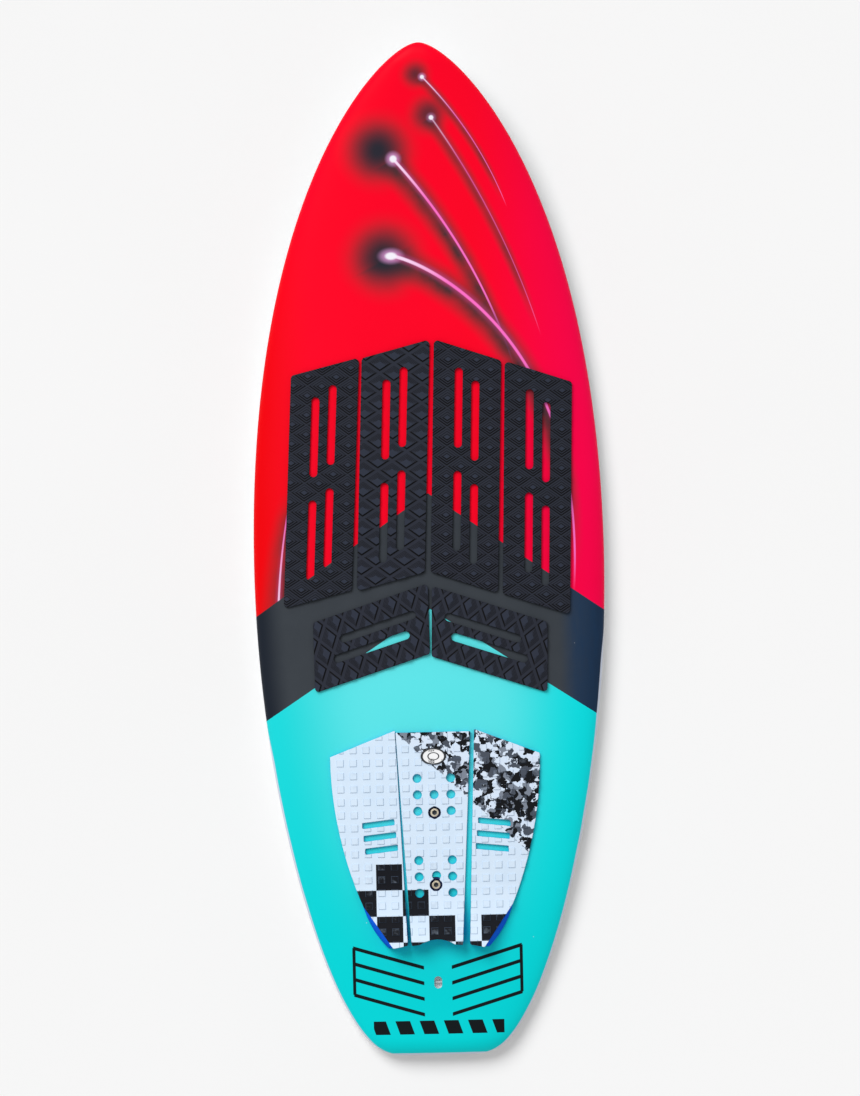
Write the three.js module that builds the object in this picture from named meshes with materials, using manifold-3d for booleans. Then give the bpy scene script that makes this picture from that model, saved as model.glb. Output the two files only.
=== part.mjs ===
// A strapless kite foilboard: a shaped foam board in a glass skin, with EVA traction pads on its deck,
// a tapered foil box let into its bottom, the two bolts that hold a foil mast in it, and a leash plug.
//
// Frame: millimetres, +Y to the nose, +X to the right seen from above with the nose up, +Z up.
// The origin is on the flat of the bottom, at mid length, on the centre line.

import * as THREE from "three";
import { mergeVertices } from "three/addons/utils/BufferGeometryUtils.js";
import Module from "manifold-3d";

const wasm = await Module();
wasm.setup();

// ---------------------------------------------------------------- driving dimensions

const LENGTH = 1422; // 4 ft 8 in
const HALF = LENGTH / 2;
const MAX_HALF_WIDTH = 246.4; // 19.4 in wide
const WIDE_POINT_Y = -15;
const SKIN = 1.8; // glass laminate
const GAP = 0.3; // glue line left between touching pieces
const CURVE_STEPS = 3; // straight pieces in each curve of a flat outline

const thickness = { middle: 60, noseShare: 0.4, nosePower: 2.6, tailShare: 0.5, tailPower: 3.5 };
const rocker = { noseStart: 120, noseLift: 64, tailStart: 530, tailLift: 9, power: 2.2 }; // flat in between
const section = { railShare: 0.4, domeWide: 3, domeHigh: 2.2, tuck: 26, tuckShare: 0.6 };
const endRounding = { nose: 30, tail: 24 };

const foilBox = {
  y: -421, // middle of the box
  length: 176,
  width: 34,
  flange: { length: 192, width: 46, depth: 4 },
  slot: { length: 152, width: 17, roofLength: 142, roofWidth: 15 },
  roofUnder: 36, // height of the slot's ceiling, where the foil's head seats
  roof: 5,
  block: { length: 212, width: 72 },
};
const bolt = {
  spacing: 101.5,
  thread: 7.9,
  length: 30,
  head: 13,
  headHeight: 8,
  hexAcrossFlats: 6,
  hexDepth: 4.5,
  clearance: 9,
};
const washer = { outer: 16, bore: 8.6, height: 1.6 };
const sleeve = { outer: 22, counterbore: 17, counterboreDepth: 9 };
const leashPlug = {
  y: -609,
  outer: 28,
  depth: 20,
  slotWidth: 11,
  slotLength: 17,
  slotDepth: 14,
  pin: 4,
  pinLength: 19,
  pinBelowDeck: 5,
};

const frontPad = { width: 95, side: 327, rise: 28.5, corner: 5.5, height: 4.5 };
const midPad = { width: 163, side: 99, rise: 50, corner: 5, height: 4.5 };
const slot = { length: 112, width: 11.2 };
const tailPad = {
  y: -254, // front edge of the inner corners
  base: 2,
  top: 3,
  kickStart: -474,
  kickEnd: -560,
  kickHeight: 24,
  kickPower: 1.7,
  kickFlare: 8,
  hole: 12.6,
  boltHole: 17.5,
};
const badge = { y: -291, length: 36, width: 24, height: 1.2 };
const PAD_LIFT = 0.4; // pads stand this far off the deck

// ---------------------------------------------------------------- materials

const material = (color, roughness, metalness = 0) =>
  new THREE.MeshStandardMaterial({ color, roughness, metalness });
const materials = {
  deckPaint: material(0xf2002a, 0.3),
  bottomGloss: material(0xf2f3f5, 0.25),
  foam: material(0xf7f7f2, 0.9),
  denseFoam: material(0xd9c27a, 0.85),
  wood: material(0xc79a63, 0.7),
  boxPlastic: material(0x17181a, 0.5),
  sleevePlastic: material(0x2a2c2f, 0.5),
  steel: material(0xc8bda4, 0.3, 1),
  plugPlastic: material(0xe9eaec, 0.4),
  blackEva: material(0x24272f, 0.85),
  whiteEva: material(0xdce9f5, 0.8),
  blueEva: material(0x0a55d8, 0.8),
  badgeRubber: material(0xf4f4f4, 0.5),
};

// ---------------------------------------------------------------- solids

// A closed geometry as a manifold-3d solid.
function solidOf(geometry) {
  const bare = geometry.index ? geometry.toNonIndexed() : geometry.clone();
  bare.deleteAttribute("normal");
  bare.deleteAttribute("uv");
  const merged = mergeVertices(bare, 1e-4);
  return new wasm.Manifold(
    new wasm.Mesh({
      numProp: 3,
      vertProperties: merged.attributes.position.array,
      triVerts: new Uint32Array(merged.index.array),
    }),
  );
}

// A manifold-3d solid as a geometry with flat faces.
function geometryOf(solid) {
  const made = solid.getMesh();
  const geometry = new THREE.BufferGeometry();
  geometry.setAttribute("position", new THREE.BufferAttribute(made.vertProperties, 3));
  geometry.setIndex(new THREE.BufferAttribute(made.triVerts, 1));
  return geometry;
}

const board = new THREE.Group();

function addPiece(name, solid, pieceMaterial) {
  const piece = new THREE.Mesh(geometryOf(solid), pieceMaterial);
  piece.name = name;
  board.add(piece);
}

// A geometry from points and triangles of their indices.
function geometryFrom(points, triangles) {
  const geometry = new THREE.BufferGeometry();
  geometry.setFromPoints(points);
  geometry.setIndex(triangles.flat());
  return geometry;
}

// The four-cornered patch between rows i, i + 1 and columns j, j + 1 of a grid of indices, as two triangles.
function patch(index, i, j) {
  const [a, b, c, d] = [index(i, j), index(i, j + 1), index(i + 1, j + 1), index(i + 1, j)];
  return [[a, b, c], [a, c, d]];
}

const flip = (triangles) => triangles.map(([a, b, c]) => [a, c, b]);

// A prism of a flat outline between two heights, with the outline's holes cut through it.
function prism(shape, zLow, zHigh) {
  const extruded = (outline, low, high) =>
    solidOf(
      new THREE.ExtrudeGeometry(new THREE.Shape(outline.getPoints(CURVE_STEPS)), {
        depth: high - low,
        bevelEnabled: false,
      }).translate(0, 0, low),
    );
  const holes = shape.holes ?? [];
  return holes.reduce(
    (solid, hole) => solid.subtract(extruded(hole, zLow - 1, zHigh + 1)),
    extruded(shape, zLow, zHigh),
  );
}

// A cylinder that stands on (x, y), between two heights.
function rod(diameter, x, y, zLow, zHigh, sides = 20) {
  const geometry = new THREE.CylinderGeometry(diameter / 2, diameter / 2, zHigh - zLow, sides);
  return solidOf(geometry.rotateX(Math.PI / 2).translate(x, y, (zLow + zHigh) / 2));
}

// A block between two corners.
function block(low, high) {
  const size = high.map((h, k) => h - low[k]);
  const geometry = new THREE.BoxGeometry(...size);
  return solidOf(geometry.translate(...low.map((l, k) => l + size[k] / 2)));
}

// ---------------------------------------------------------------- flat outlines

// A closed outline through corner points, each rounded to its own radius.
function roundedOutline(corners, radius) {
  const shape = new THREE.Shape();
  corners.forEach((corner, k) => {
    const before = corners.at(k - 1);
    const after = corners[(k + 1) % corners.length];
    const inward = before.clone().sub(corner).setLength(radius).add(corner);
    const outward = after.clone().sub(corner).setLength(radius).add(corner);
    if (k === 0) shape.moveTo(inward.x, inward.y);
    else shape.lineTo(inward.x, inward.y);
    shape.quadraticCurveTo(corner.x, corner.y, outward.x, outward.y);
  });
  shape.closePath();
  return shape;
}

const rectangle = (length, width, radius, centreY = 0) =>
  roundedOutline(
    [[-1, -1], [1, -1], [1, 1], [-1, 1]].map(
      ([x, y]) => new THREE.Vector2((x * width) / 2, centreY + (y * length) / 2),
    ),
    radius,
  );

// A slot with round ends, lying along the direction of angle from +X.
function slotOutline(length, width, x, y, angle) {
  const shape = new THREE.Path();
  const radius = width / 2;
  const reach = length / 2 - radius;
  const along = new THREE.Vector2(Math.cos(angle), Math.sin(angle)).multiplyScalar(reach);
  shape.absarc(x + along.x, y + along.y, radius, angle - Math.PI / 2, angle + Math.PI / 2);
  shape.absarc(x - along.x, y - along.y, radius, angle + Math.PI / 2, angle + (3 * Math.PI) / 2);
  shape.closePath();
  return shape;
}

// ---------------------------------------------------------------- the board's shape

// Half of the outline, from the nose tip round to the squared tail.
const point = (x, y) => new THREE.Vector2(x, y);
const outlineCurves = [
  new THREE.CubicBezierCurve(
    point(0, HALF), point(48.9, HALF), point(MAX_HALF_WIDTH, 515), point(MAX_HALF_WIDTH, WIDE_POINT_Y),
  ),
  new THREE.CubicBezierCurve(
    point(MAX_HALF_WIDTH, WIDE_POINT_Y), point(MAX_HALF_WIDTH, -317),
    point(175.5, -551.3), point(136.2, -630.5),
  ),
  new THREE.CubicBezierCurve(
    point(136.2, -630.5), point(97.1, -709.2), point(74.9, -HALF), point(38, -HALF),
  ),
];
const outline = outlineCurves.flatMap((curve) => curve.getPoints(120));

function halfWidth(y) {
  const k = outline.findIndex((p) => p.y <= y);
  if (k <= 0) return k === 0 ? outline[1].x * 0.8 : outline.at(-1).x;
  const [above, below] = [outline[k - 1], outline[k]];
  const share = (above.y - y) / Math.max(above.y - below.y, 1e-9);
  return above.x + (below.x - above.x) * share;
}

function bottomHeight(y) {
  const [start, lift] = y > 0 ? [rocker.noseStart, rocker.noseLift] : [rocker.tailStart, rocker.tailLift];
  return lift * (Math.max(Math.abs(y) - start, 0) / (HALF - start)) ** rocker.power;
}

function boardThickness(y) {
  const share = Math.min(Math.abs(y) / HALF, 1);
  const [keep, power] =
    y > 0 ? [thickness.noseShare, thickness.nosePower] : [thickness.tailShare, thickness.tailPower];
  return thickness.middle * (1 - (1 - keep) * share ** power);
}

// How full the section is near an end: 0 at the very end, 1 from the rounding inwards.
function fullness(y, inset) {
  const rounding = (y > 0 ? endRounding.nose : endRounding.tail) - inset;
  const past = 1 - Math.min((HALF - inset - Math.abs(y)) / rounding, 1);
  return Math.sqrt(Math.max(1 - past ** 2, 0));
}

const railHeight = (y) => bottomHeight(y) + section.railShare * boardThickness(y);
const domeHeight = (y) => (1 - section.railShare) * boardThickness(y);
const dome = (share) =>
  Math.max(1 - Math.abs(share) ** section.domeWide, 0) ** (1 / section.domeHigh);

// Height of the deck over a point of the board.
const deckHeight = (x, y) => railHeight(y) + domeHeight(y) * fullness(y, 0) * dome(x / halfWidth(y));

const STATIONS = 27;
const stations = Array.from({ length: STATIONS }, (_, i) =>
  HALF * Math.sin(Math.PI * (i / (STATIONS - 1) - 0.5)),
);

const DECK_STEPS = 14;
const TUCK_STEPS = 4;

// Points across the deck from the left rail to the right one, at a station, on the surface or inset from it.
function deckRow(station, inset, seam) {
  const y = (station * (HALF - inset)) / HALF;
  const width = halfWidth(station) - inset;
  const height = (domeHeight(y) - inset - seam) * fullness(y, inset);
  return Array.from({ length: DECK_STEPS + 1 }, (_, j) => {
    const turn = Math.PI * (1 - j / DECK_STEPS);
    const across = Math.sign(Math.cos(turn)) * Math.abs(Math.cos(turn)) ** (2 / section.domeWide);
    const up = Math.max(Math.sin(turn), 0) ** (2 / section.domeHigh);
    return new THREE.Vector3(across * width, y, railHeight(y) + seam + height * up);
  });
}

// Points across the bottom, from the left rail round the tuck and over the flat to the right rail.
function bottomRow(station, inset, seam) {
  const y = (station * (HALF - inset)) / HALF;
  const width = halfWidth(station) - inset;
  const tuck = Math.min(section.tuck, section.tuckShare * width);
  const depth = (railHeight(y) - bottomHeight(y) - inset - seam) * fullness(y, inset);
  const half = Array.from({ length: TUCK_STEPS + 1 }, (_, j) => {
    const turn = (Math.PI / 2) * (j / TUCK_STEPS);
    return [width - tuck + tuck * Math.cos(turn), depth * Math.sin(turn)];
  });
  const across = [
    ...half.map(([x, down]) => [-x, down]),
    [0, depth],
    ...half.toReversed(),
  ];
  return across.map(([x, down]) => new THREE.Vector3(x, y, railHeight(y) - seam - down));
}

// A shell between an outer and an inner grid of points of one size. facesUp: the outer grid shows from above.
function shell(outer, inner, facesUp) {
  const rows = outer.length;
  const columns = outer[0].length;
  const outside = (i, j) => i * columns + j;
  const inside = (i, j) => rows * columns + outside(i, j);
  const triangles = [];
  for (let i = 0; i < rows - 1; i++)
    for (let j = 0; j < columns - 1; j++)
      triangles.push(...patch(outside, i, j), ...flip(patch(inside, i, j)));
  const border = [
    ...Array.from({ length: columns - 1 }, (_, j) => [0, j]),
    ...Array.from({ length: rows - 1 }, (_, i) => [i, columns - 1]),
    ...Array.from({ length: columns - 1 }, (_, j) => [rows - 1, columns - 1 - j]),
    ...Array.from({ length: rows - 1 }, (_, i) => [rows - 1 - i, 0]),
  ];
  border.forEach((here, k) => {
    const next = border[(k + 1) % border.length];
    triangles.push(
      [outside(...next), outside(...here), inside(...here)],
      [outside(...next), inside(...here), inside(...next)],
    );
  });
  const geometry = geometryFrom([...outer.flat(), ...inner.flat()], facesUp ? triangles : flip(triangles));
  return solidOf(geometry);
}

const SEAM = GAP / 2;
const rowsOf = (row, inset) => stations.map((station) => row(station, inset, SEAM));

// The whole board as one solid, inset from its surface by so much. It leaves out the very ends.
function boardSolid(inset) {
  const rings = stations
    .slice(1, -1)
    .map((station) => [
      ...deckRow(station, inset, 0),
      ...bottomRow(station, inset, 0).slice(1, -1).toReversed(),
    ]);
  const around = rings[0].length;
  const index = (i, j) => i * around + (j % around);
  const triangles = [];
  for (let i = 0; i < rings.length - 1; i++)
    for (let j = 0; j < around; j++) triangles.push(...patch(index, i, j));
  for (let j = 1; j < around - 1; j++) {
    triangles.push([index(0, 0), index(0, j + 1), index(0, j)]);
    triangles.push([index(rings.length - 1, 0), index(rings.length - 1, j), index(rings.length - 1, j + 1)]);
  }
  return solidOf(geometryFrom(rings.flat(), triangles));
}

// ---------------------------------------------------------------- hardware places

const LOW = -20; // below and above everything, for tools that cut right through
const HIGH = 160;
const boltPlaces = { front: foilBox.y + bolt.spacing / 2, rear: foilBox.y - bolt.spacing / 2 };
const sleeveTop = (y) => deckHeight(0, y) - 0.5;
const seatHeight = (y) => sleeveTop(y) - sleeve.counterboreDepth;
const plugTop = deckHeight(0, leashPlug.y) - SKIN - 1;

// ---------------------------------------------------------------- skins, core and stringer

const plugSlot = (grow) =>
  slotOutline(leashPlug.slotLength + grow, leashPlug.slotWidth + grow, 0, leashPlug.y, Math.PI / 2);

function deckLaminate() {
  let skin = shell(rowsOf(deckRow, 0), rowsOf(deckRow, SKIN), true);
  for (const y of Object.values(boltPlaces)) {
    skin = skin.subtract(rod(sleeve.outer + 2 * GAP, 0, y, LOW, HIGH));
  }
  return skin.subtract(prism(plugSlot(0), LOW, HIGH));
}

function bottomLaminate() {
  const skin = shell(rowsOf(bottomRow, 0), rowsOf(bottomRow, SKIN), false);
  const { length, width } = foilBox.flange;
  const opening = rectangle(length + 2 * GAP, width + 2 * GAP, 12, foilBox.y);
  return skin.subtract(prism(opening, LOW, railHeight(foilBox.y)));
}

const core = boardSolid(SKIN + 2 * GAP);
const STRINGER = 4;
const blockFootprint = (grow) =>
  prism(rectangle(foilBox.block.length + grow, foilBox.block.width + grow, 10, foilBox.y), LOW, HIGH);
const plugPocket = rod(leashPlug.outer + 2 * GAP, 0, leashPlug.y, plugTop - leashPlug.depth - GAP, HIGH);

function foamHalf(side) {
  const across = [STRINGER / 2 + GAP, MAX_HALF_WIDTH + 1].map((x) => side * x).sort((a, b) => a - b);
  const half = block([across[0], -HALF, LOW], [across[1], HALF, HIGH]);
  return core.intersect(half).subtract(blockFootprint(2 * GAP)).subtract(plugPocket);
}

function stringer(yLow, yHigh) {
  return core.intersect(block([-STRINGER / 2, yLow, LOW], [STRINGER / 2, yHigh, HIGH]));
}

// ---------------------------------------------------------------- foil box, block, sleeves and bolts

// The body of the box and its flange, grown all round by a clearance.
function boxEnvelope(grow) {
  const { length, width, flange, roofUnder, roof, y } = foilBox;
  const bottom = bottomHeight(y);
  const body = prism(rectangle(length + 2 * grow, width + 2 * grow, 10, y), LOW, roofUnder + roof + grow);
  const rim = prism(
    rectangle(flange.length + 2 * grow, flange.width + 2 * grow, 12, y), LOW, bottom + flange.depth + grow,
  );
  return body.add(rim);
}

// The tapered slot, from its mouth below the board to its ceiling.
function taperedSlot() {
  const { slot: size, roofUnder, y } = foilBox;
  const mouth = bottomHeight(y);
  const levels = [
    [size.length, size.width, mouth],
    [size.roofLength, size.roofWidth, roofUnder],
  ];
  const grow = (levels[0][0] - levels[1][0]) / (roofUnder - mouth);
  const thin = (levels[0][1] - levels[1][1]) / (roofUnder - mouth);
  const below = mouth - LOW;
  const [low, high] = [
    rectangle(size.length + grow * below, size.width + thin * below, 5, y),
    rectangle(size.roofLength, size.roofWidth, 5, y),
  ].map((shape) => shape.getPoints(4).slice(0, -1));
  const points = [
    ...low.map((p) => new THREE.Vector3(p.x, p.y, LOW)),
    ...high.map((p) => new THREE.Vector3(p.x, p.y, roofUnder)),
  ];
  const count = low.length;
  const index = (i, j) => i * count + (j % count);
  const triangles = [];
  for (let j = 0; j < count; j++) triangles.push(...patch(index, 0, j));
  for (let j = 1; j < count - 1; j++) {
    triangles.push([index(0, 0), index(0, j + 1), index(0, j)]);
    triangles.push([index(1, 0), index(1, j), index(1, j + 1)]);
  }
  return solidOf(geometryFrom(points, triangles));
}

function foilBoxHousing() {
  let housing = boxEnvelope(0).intersect(boardSolid(0)).subtract(taperedSlot());
  for (const y of Object.values(boltPlaces)) housing = housing.subtract(rod(bolt.clearance, 0, y, LOW, HIGH));
  return housing;
}

function foilBoxBlock() {
  let foam = core.intersect(blockFootprint(0)).subtract(boxEnvelope(GAP));
  for (const y of Object.values(boltPlaces)) {
    foam = foam.subtract(rod(sleeve.outer + 2 * GAP, 0, y, LOW, HIGH));
  }
  return foam;
}

function boltSleeve(y) {
  return rod(sleeve.outer, 0, y, foilBox.roofUnder + foilBox.roof + GAP, sleeveTop(y))
    .subtract(rod(bolt.clearance, 0, y, LOW, HIGH))
    .subtract(rod(sleeve.counterbore, 0, y, seatHeight(y), HIGH));
}

function boltWasher(y) {
  const low = seatHeight(y) + GAP;
  return rod(washer.outer, 0, y, low, low + washer.height).subtract(rod(washer.bore, 0, y, LOW, HIGH));
}

function foilBolt(y) {
  const under = seatHeight(y) + 2 * GAP + washer.height;
  const top = under + bolt.headHeight;
  const [head, shank, chamfer] = [bolt.head / 2, bolt.thread / 2, 0.8];
  const profile = [
    [0, under - bolt.length],
    [shank - chamfer, under - bolt.length],
    [shank, under - bolt.length + chamfer],
    [shank, under],
    [head, under],
    [head, top - chamfer],
    [head - chamfer, top],
    [0, top],
  ].map(([x, z]) => point(x, z));
  const turned = new THREE.LatheGeometry(profile, 20).rotateX(Math.PI / 2).translate(0, y, 0);
  const hexRadius = bolt.hexAcrossFlats / Math.sqrt(3);
  const socket = new THREE.CylinderGeometry(hexRadius, hexRadius, 2 * bolt.hexDepth, 6);
  return solidOf(turned).subtract(solidOf(socket.rotateX(Math.PI / 2).translate(0, y, top)));
}

// ---------------------------------------------------------------- leash plug

const pinHeight = plugTop + SKIN + 1 - leashPlug.pinBelowDeck - leashPlug.pin / 2;

function leashPin(diameter, length) {
  const geometry = new THREE.CylinderGeometry(diameter / 2, diameter / 2, length, 16);
  return solidOf(geometry.rotateZ(Math.PI / 2).translate(0, leashPlug.y, pinHeight));
}

function leashPlugCup() {
  const cavity = prism(plugSlot(0), plugTop - leashPlug.slotDepth, HIGH);
  return rod(leashPlug.outer, 0, leashPlug.y, plugTop - leashPlug.depth, plugTop)
    .subtract(cavity)
    .subtract(leashPin(leashPlug.pin + 2 * GAP, leashPlug.pinLength + 2 * GAP));
}

// ---------------------------------------------------------------- pads

// Numbers from low to high, at most a step apart.
function spread(low, high, step) {
  const count = Math.ceil((high - low) / step);
  return Array.from({ length: count + 1 }, (_, k) => low + ((high - low) * k) / count);
}

// A sheet cut to an outline, whose underside and top follow two surfaces of x and y. It bends most over the
// tail's kick, so its rows lie closer there.
function drapedSheet(shape, underside, topside, stepX, stepKick = STEP_Y) {
  const box = new THREE.Box2().setFromPoints(shape.getPoints(CURVE_STEPS)).expandByScalar(2);
  const kickStart = THREE.MathUtils.clamp(tailPad.kickStart, box.min.y + 1, box.max.y - 1);
  const columns = spread(box.min.x, box.max.x, stepX);
  const rows = [
    ...spread(box.min.y, kickStart, kickStart < tailPad.kickStart + 1 ? stepKick : STEP_Y),
    ...spread(kickStart, box.max.y, STEP_Y).slice(1),
  ];
  const grid = (surface) => rows.map((y) => columns.map((x) => new THREE.Vector3(x, y, surface(x, y))));
  return shell(grid(topside), grid(underside), true).intersect(prism(shape, LOW, HIGH));
}

// A parallelogram panel whose top and bottom edges climb to the right, or to the left when side is -1.
function panelOutline({ width, side, rise, corner }, mirror, place) {
  const corners = [[-1, -1], [1, -1], [1, 1], [-1, 1]].map(([x, y]) => {
    const local = point((mirror * x * width) / 2, (y * side) / 2 + (x * rise) / 2);
    return place(local);
  });
  return roundedOutline(mirror > 0 ? corners : corners.toReversed(), corner);
}

const turnedTo = (x, y, degrees) => (local) =>
  local.rotateAround(point(0, 0), THREE.MathUtils.degToRad(degrees)).add(point(x, y));

// Where each black panel was stuck: its middle and how far it was turned.
const frontPads = {
  front_pad_outer_left: { mirror: 1, x: -148.8, y: 95.6, turn: -3 },
  front_pad_inner_left: { mirror: 1, x: -47.4, y: 118.4, turn: -2.4 },
  front_pad_inner_right: { mirror: -1, x: 54.6, y: 114.9, turn: -2 },
  front_pad_outer_right: { mirror: -1, x: 154.3, y: 82.5, turn: -1.7 },
};
const midPads = {
  mid_pad_left: { mirror: 1, x: -83.2, y: -123.7, turn: 0.6 },
  mid_pad_right: { mirror: -1, x: 82.6, y: -128.5, turn: -1.4 },
};

const STEP_X = 14; // over the curved sides of the deck
const STEP_CENTRE = 36; // over the flatter middle
const STEP_Y = 80;
const STEP_KICK = 14;
const onDeck = (lift) => (x, y) => deckHeight(x, y) + lift;

// A front panel has two staggered columns of two slots.
function frontPadPiece({ mirror, x, y, turn }) {
  const place = turnedTo(x, y, turn);
  const shape = panelOutline(frontPad, mirror, place);
  const [columnX, stagger, offset, pitch] = [11.8, 9, 0.6, 72.5];
  for (const column of [-1, 1])
    for (const row of [-1, 1]) {
      const middle = place(point(mirror * column * columnX, column * stagger + offset + row * pitch));
      const angle = Math.PI / 2 + THREE.MathUtils.degToRad(turn);
      shape.holes.push(slotOutline(slot.length, slot.width, middle.x, middle.y, angle));
    }
  return drapedSheet(shape, onDeck(PAD_LIFT), onDeck(PAD_LIFT + frontPad.height), STEP_X);
}

// A mid panel has two slots along its slant.
function midPadPiece({ mirror, x, y, turn }) {
  const place = turnedTo(x, y, turn);
  const shape = panelOutline(midPad, mirror, place);
  const slant = Math.atan2(mirror * midPad.rise, midPad.width);
  for (const [dx, dy] of [[9.5, 16], [0, -12.2]]) {
    const middle = place(point(mirror * dx, dy));
    const angle = slant + THREE.MathUtils.degToRad(turn);
    shape.holes.push(slotOutline(slot.length, slot.width, middle.x, middle.y, angle));
  }
  return drapedSheet(shape, onDeck(PAD_LIFT), onDeck(PAD_LIFT + midPad.height), STEP_X);
}

// Height of the tail kick's ramp over the pad's base.
function kickRise(y) {
  const share = THREE.MathUtils.clamp((tailPad.kickStart - y) / (tailPad.kickStart - tailPad.kickEnd), 0, 1);
  return tailPad.kickHeight * share ** tailPad.kickPower;
}

// Where the straight cut along the kick begins and ends, out and back from a side panel's inner front corner.
const KICK_CORNER = [49.5, -246];
const REAR_CORNER = [8.5, -306];

// Outline of a side panel, from its inner front corner. The base is wider than the top along the kick.
function sidePanelOutline(mirror, x, base) {
  const place = (px, py) => point(x + mirror * px, tailPad.y + py);
  const outer = new THREE.CubicBezierCurve(
    place(91.5, -35.5), place(92, -110), place(75, -185), place(...KICK_CORNER),
  );
  const flared = new THREE.QuadraticBezierCurve(place(...KICK_CORNER), place(39, -282), place(14.5, -306));
  const rear = base ? flared.getPoints(5) : [place(...KICK_CORNER), place(...REAR_CORNER)];
  return new THREE.Shape([place(0, 0), ...outer.getPoints(10), ...rear.slice(1), place(-12, -302)]);
}

// The three slots across a side panel.
function sideSlots(mirror, x) {
  return [0, 1, 2].map((k) => {
    const [inner, outerEnd] = [3 - 2 * k, 48.5 - 1.7 * k];
    const [front, drop, width] = [-124 - 18 * k, -5, 8.4];
    const corners = [
      [inner, front],
      [outerEnd, front + drop],
      [outerEnd, front + drop - width],
      [inner, front - width],
    ];
    return new THREE.Path(corners.map(([px, py]) => point(x + mirror * px, tailPad.y + py)));
  });
}

const centrePanel = {
  frontHalf: 52.4, frontY: -257, rearHalf: 36, rearY: -556.5, notchHalf: 25, notchDepth: 8,
};

function centrePanelOutline() {
  const { frontHalf, frontY, rearHalf, rearY, notchHalf, notchDepth } = centrePanel;
  const notch = new THREE.QuadraticBezierCurve(
    point(-notchHalf, rearY + 1), point(0, rearY + 2 * notchDepth), point(notchHalf, rearY + 1),
  );
  return new THREE.Shape([
    point(-frontHalf, frontY), point(-rearHalf, rearY), ...notch.getPoints(6), point(rearHalf, rearY),
    point(frontHalf, frontY),
  ]);
}

// Round holes in two groups either side of the bolts, and the holes cut round the bolts.
function centreHoles() {
  const [column, row] = [23.5, 23];
  const holes = [];
  for (const front of [-321.8, -437]) {
    for (const x of [-column, column]) {
      for (const k of [0, 1, 2]) holes.push([x, front - k * row, tailPad.hole]);
    }
  }
  holes.push([0, -321.8 - row, tailPad.hole], [1, -458.5, tailPad.hole]);
  for (const y of Object.values(boltPlaces)) holes.push([0, y, tailPad.boltHole]);
  return holes;
}

function pierced(sheet) {
  const pierce = (made, [x, y, diameter]) => made.subtract(rod(diameter, x, y, LOW, HIGH, 12));
  return centreHoles().reduce(pierce, sheet);
}

const BASE_TOP = PAD_LIFT + tailPad.base;
const baseOf = (shape, stepX) => drapedSheet(shape, onDeck(PAD_LIFT), onDeck(BASE_TOP), stepX);
const coverUnder = (x, y) => {
  const kick = y < tailPad.kickStart ? kickRise(y) + GAP : 0;
  return deckHeight(x, y) + BASE_TOP + GAP + kick;
};
const coverTop = (x, y) => coverUnder(x, y) + tailPad.top;
const coverOf = (shape, stepX) => drapedSheet(shape, coverUnder, coverTop, stepX, STEP_KICK);

// The wedge between base and top. Its side falls away outside the edge of the top sheet.
function kickOf(shape, sideFall, stepX) {
  const rear = block([-300, -HALF, LOW], [300, tailPad.kickStart - 12, HIGH]);
  const topside = (x, y) => deckHeight(x, y) + BASE_TOP + GAP + Math.max(kickRise(y) * sideFall(x, y), 0.2);
  return drapedSheet(shape, onDeck(BASE_TOP + GAP), topside, stepX, STEP_KICK).intersect(rear);
}

// Share of the kick's height that is left outside the straight edge of a side panel's top sheet.
function sideFall(mirror, x) {
  const edge = new THREE.Line3(
    ...[KICK_CORNER, REAR_CORNER].map(([px, py]) => new THREE.Vector3(x + mirror * px, tailPad.y + py, 0)),
  );
  return (px, py) => {
    const here = new THREE.Vector3(px, py, 0);
    const nearest = edge.closestPointToPoint(here, false, new THREE.Vector3());
    const outside = Math.sign(mirror * (px - nearest.x)) * here.distanceTo(nearest);
    return THREE.MathUtils.clamp(1 - outside / tailPad.kickFlare, 0, 1);
  };
}

const sidePanels = { left: { mirror: -1, x: -53.4 }, right: { mirror: 1, x: 58 } };

function tailBadge() {
  const edge = new THREE.EllipseCurve(0, badge.y, badge.length / 2, badge.width / 2);
  const shape = new THREE.Shape(edge.getPoints(24).slice(1));
  const under = (x, y) => coverTop(x, y) + GAP;
  return drapedSheet(shape, under, (x, y) => under(x, y) + badge.height, STEP_CENTRE);
}

// ---------------------------------------------------------------- assembly

addPiece("deck_laminate", deckLaminate(), materials.deckPaint);
addPiece("bottom_laminate", bottomLaminate(), materials.bottomGloss);
addPiece("foam_core_left", foamHalf(-1), materials.foam);
addPiece("foam_core_right", foamHalf(1), materials.foam);
const blockEnd = foilBox.block.length / 2 + GAP;
addPiece("stringer_front", stringer(foilBox.y + blockEnd, HALF), materials.wood);
const plugFront = leashPlug.y + leashPlug.outer / 2 + GAP;
addPiece("stringer_rear", stringer(plugFront, foilBox.y - blockEnd), materials.wood);
addPiece("foil_box_block", foilBoxBlock(), materials.denseFoam);
addPiece("foil_box", foilBoxHousing(), materials.boxPlastic);

for (const [end, y] of Object.entries(boltPlaces)) {
  addPiece(`bolt_sleeve_${end}`, boltSleeve(y), materials.sleevePlastic);
  addPiece(`bolt_washer_${end}`, boltWasher(y), materials.steel);
  addPiece(`foil_bolt_${end}`, foilBolt(y), materials.steel);
}

addPiece("leash_plug_cup", leashPlugCup(), materials.plugPlastic);
addPiece("leash_plug_pin", leashPin(leashPlug.pin, leashPlug.pinLength), materials.steel);

for (const [name, where] of Object.entries(frontPads)) {
  addPiece(name, frontPadPiece(where), materials.blackEva);
}
for (const [name, where] of Object.entries(midPads)) addPiece(name, midPadPiece(where), materials.blackEva);

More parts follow.
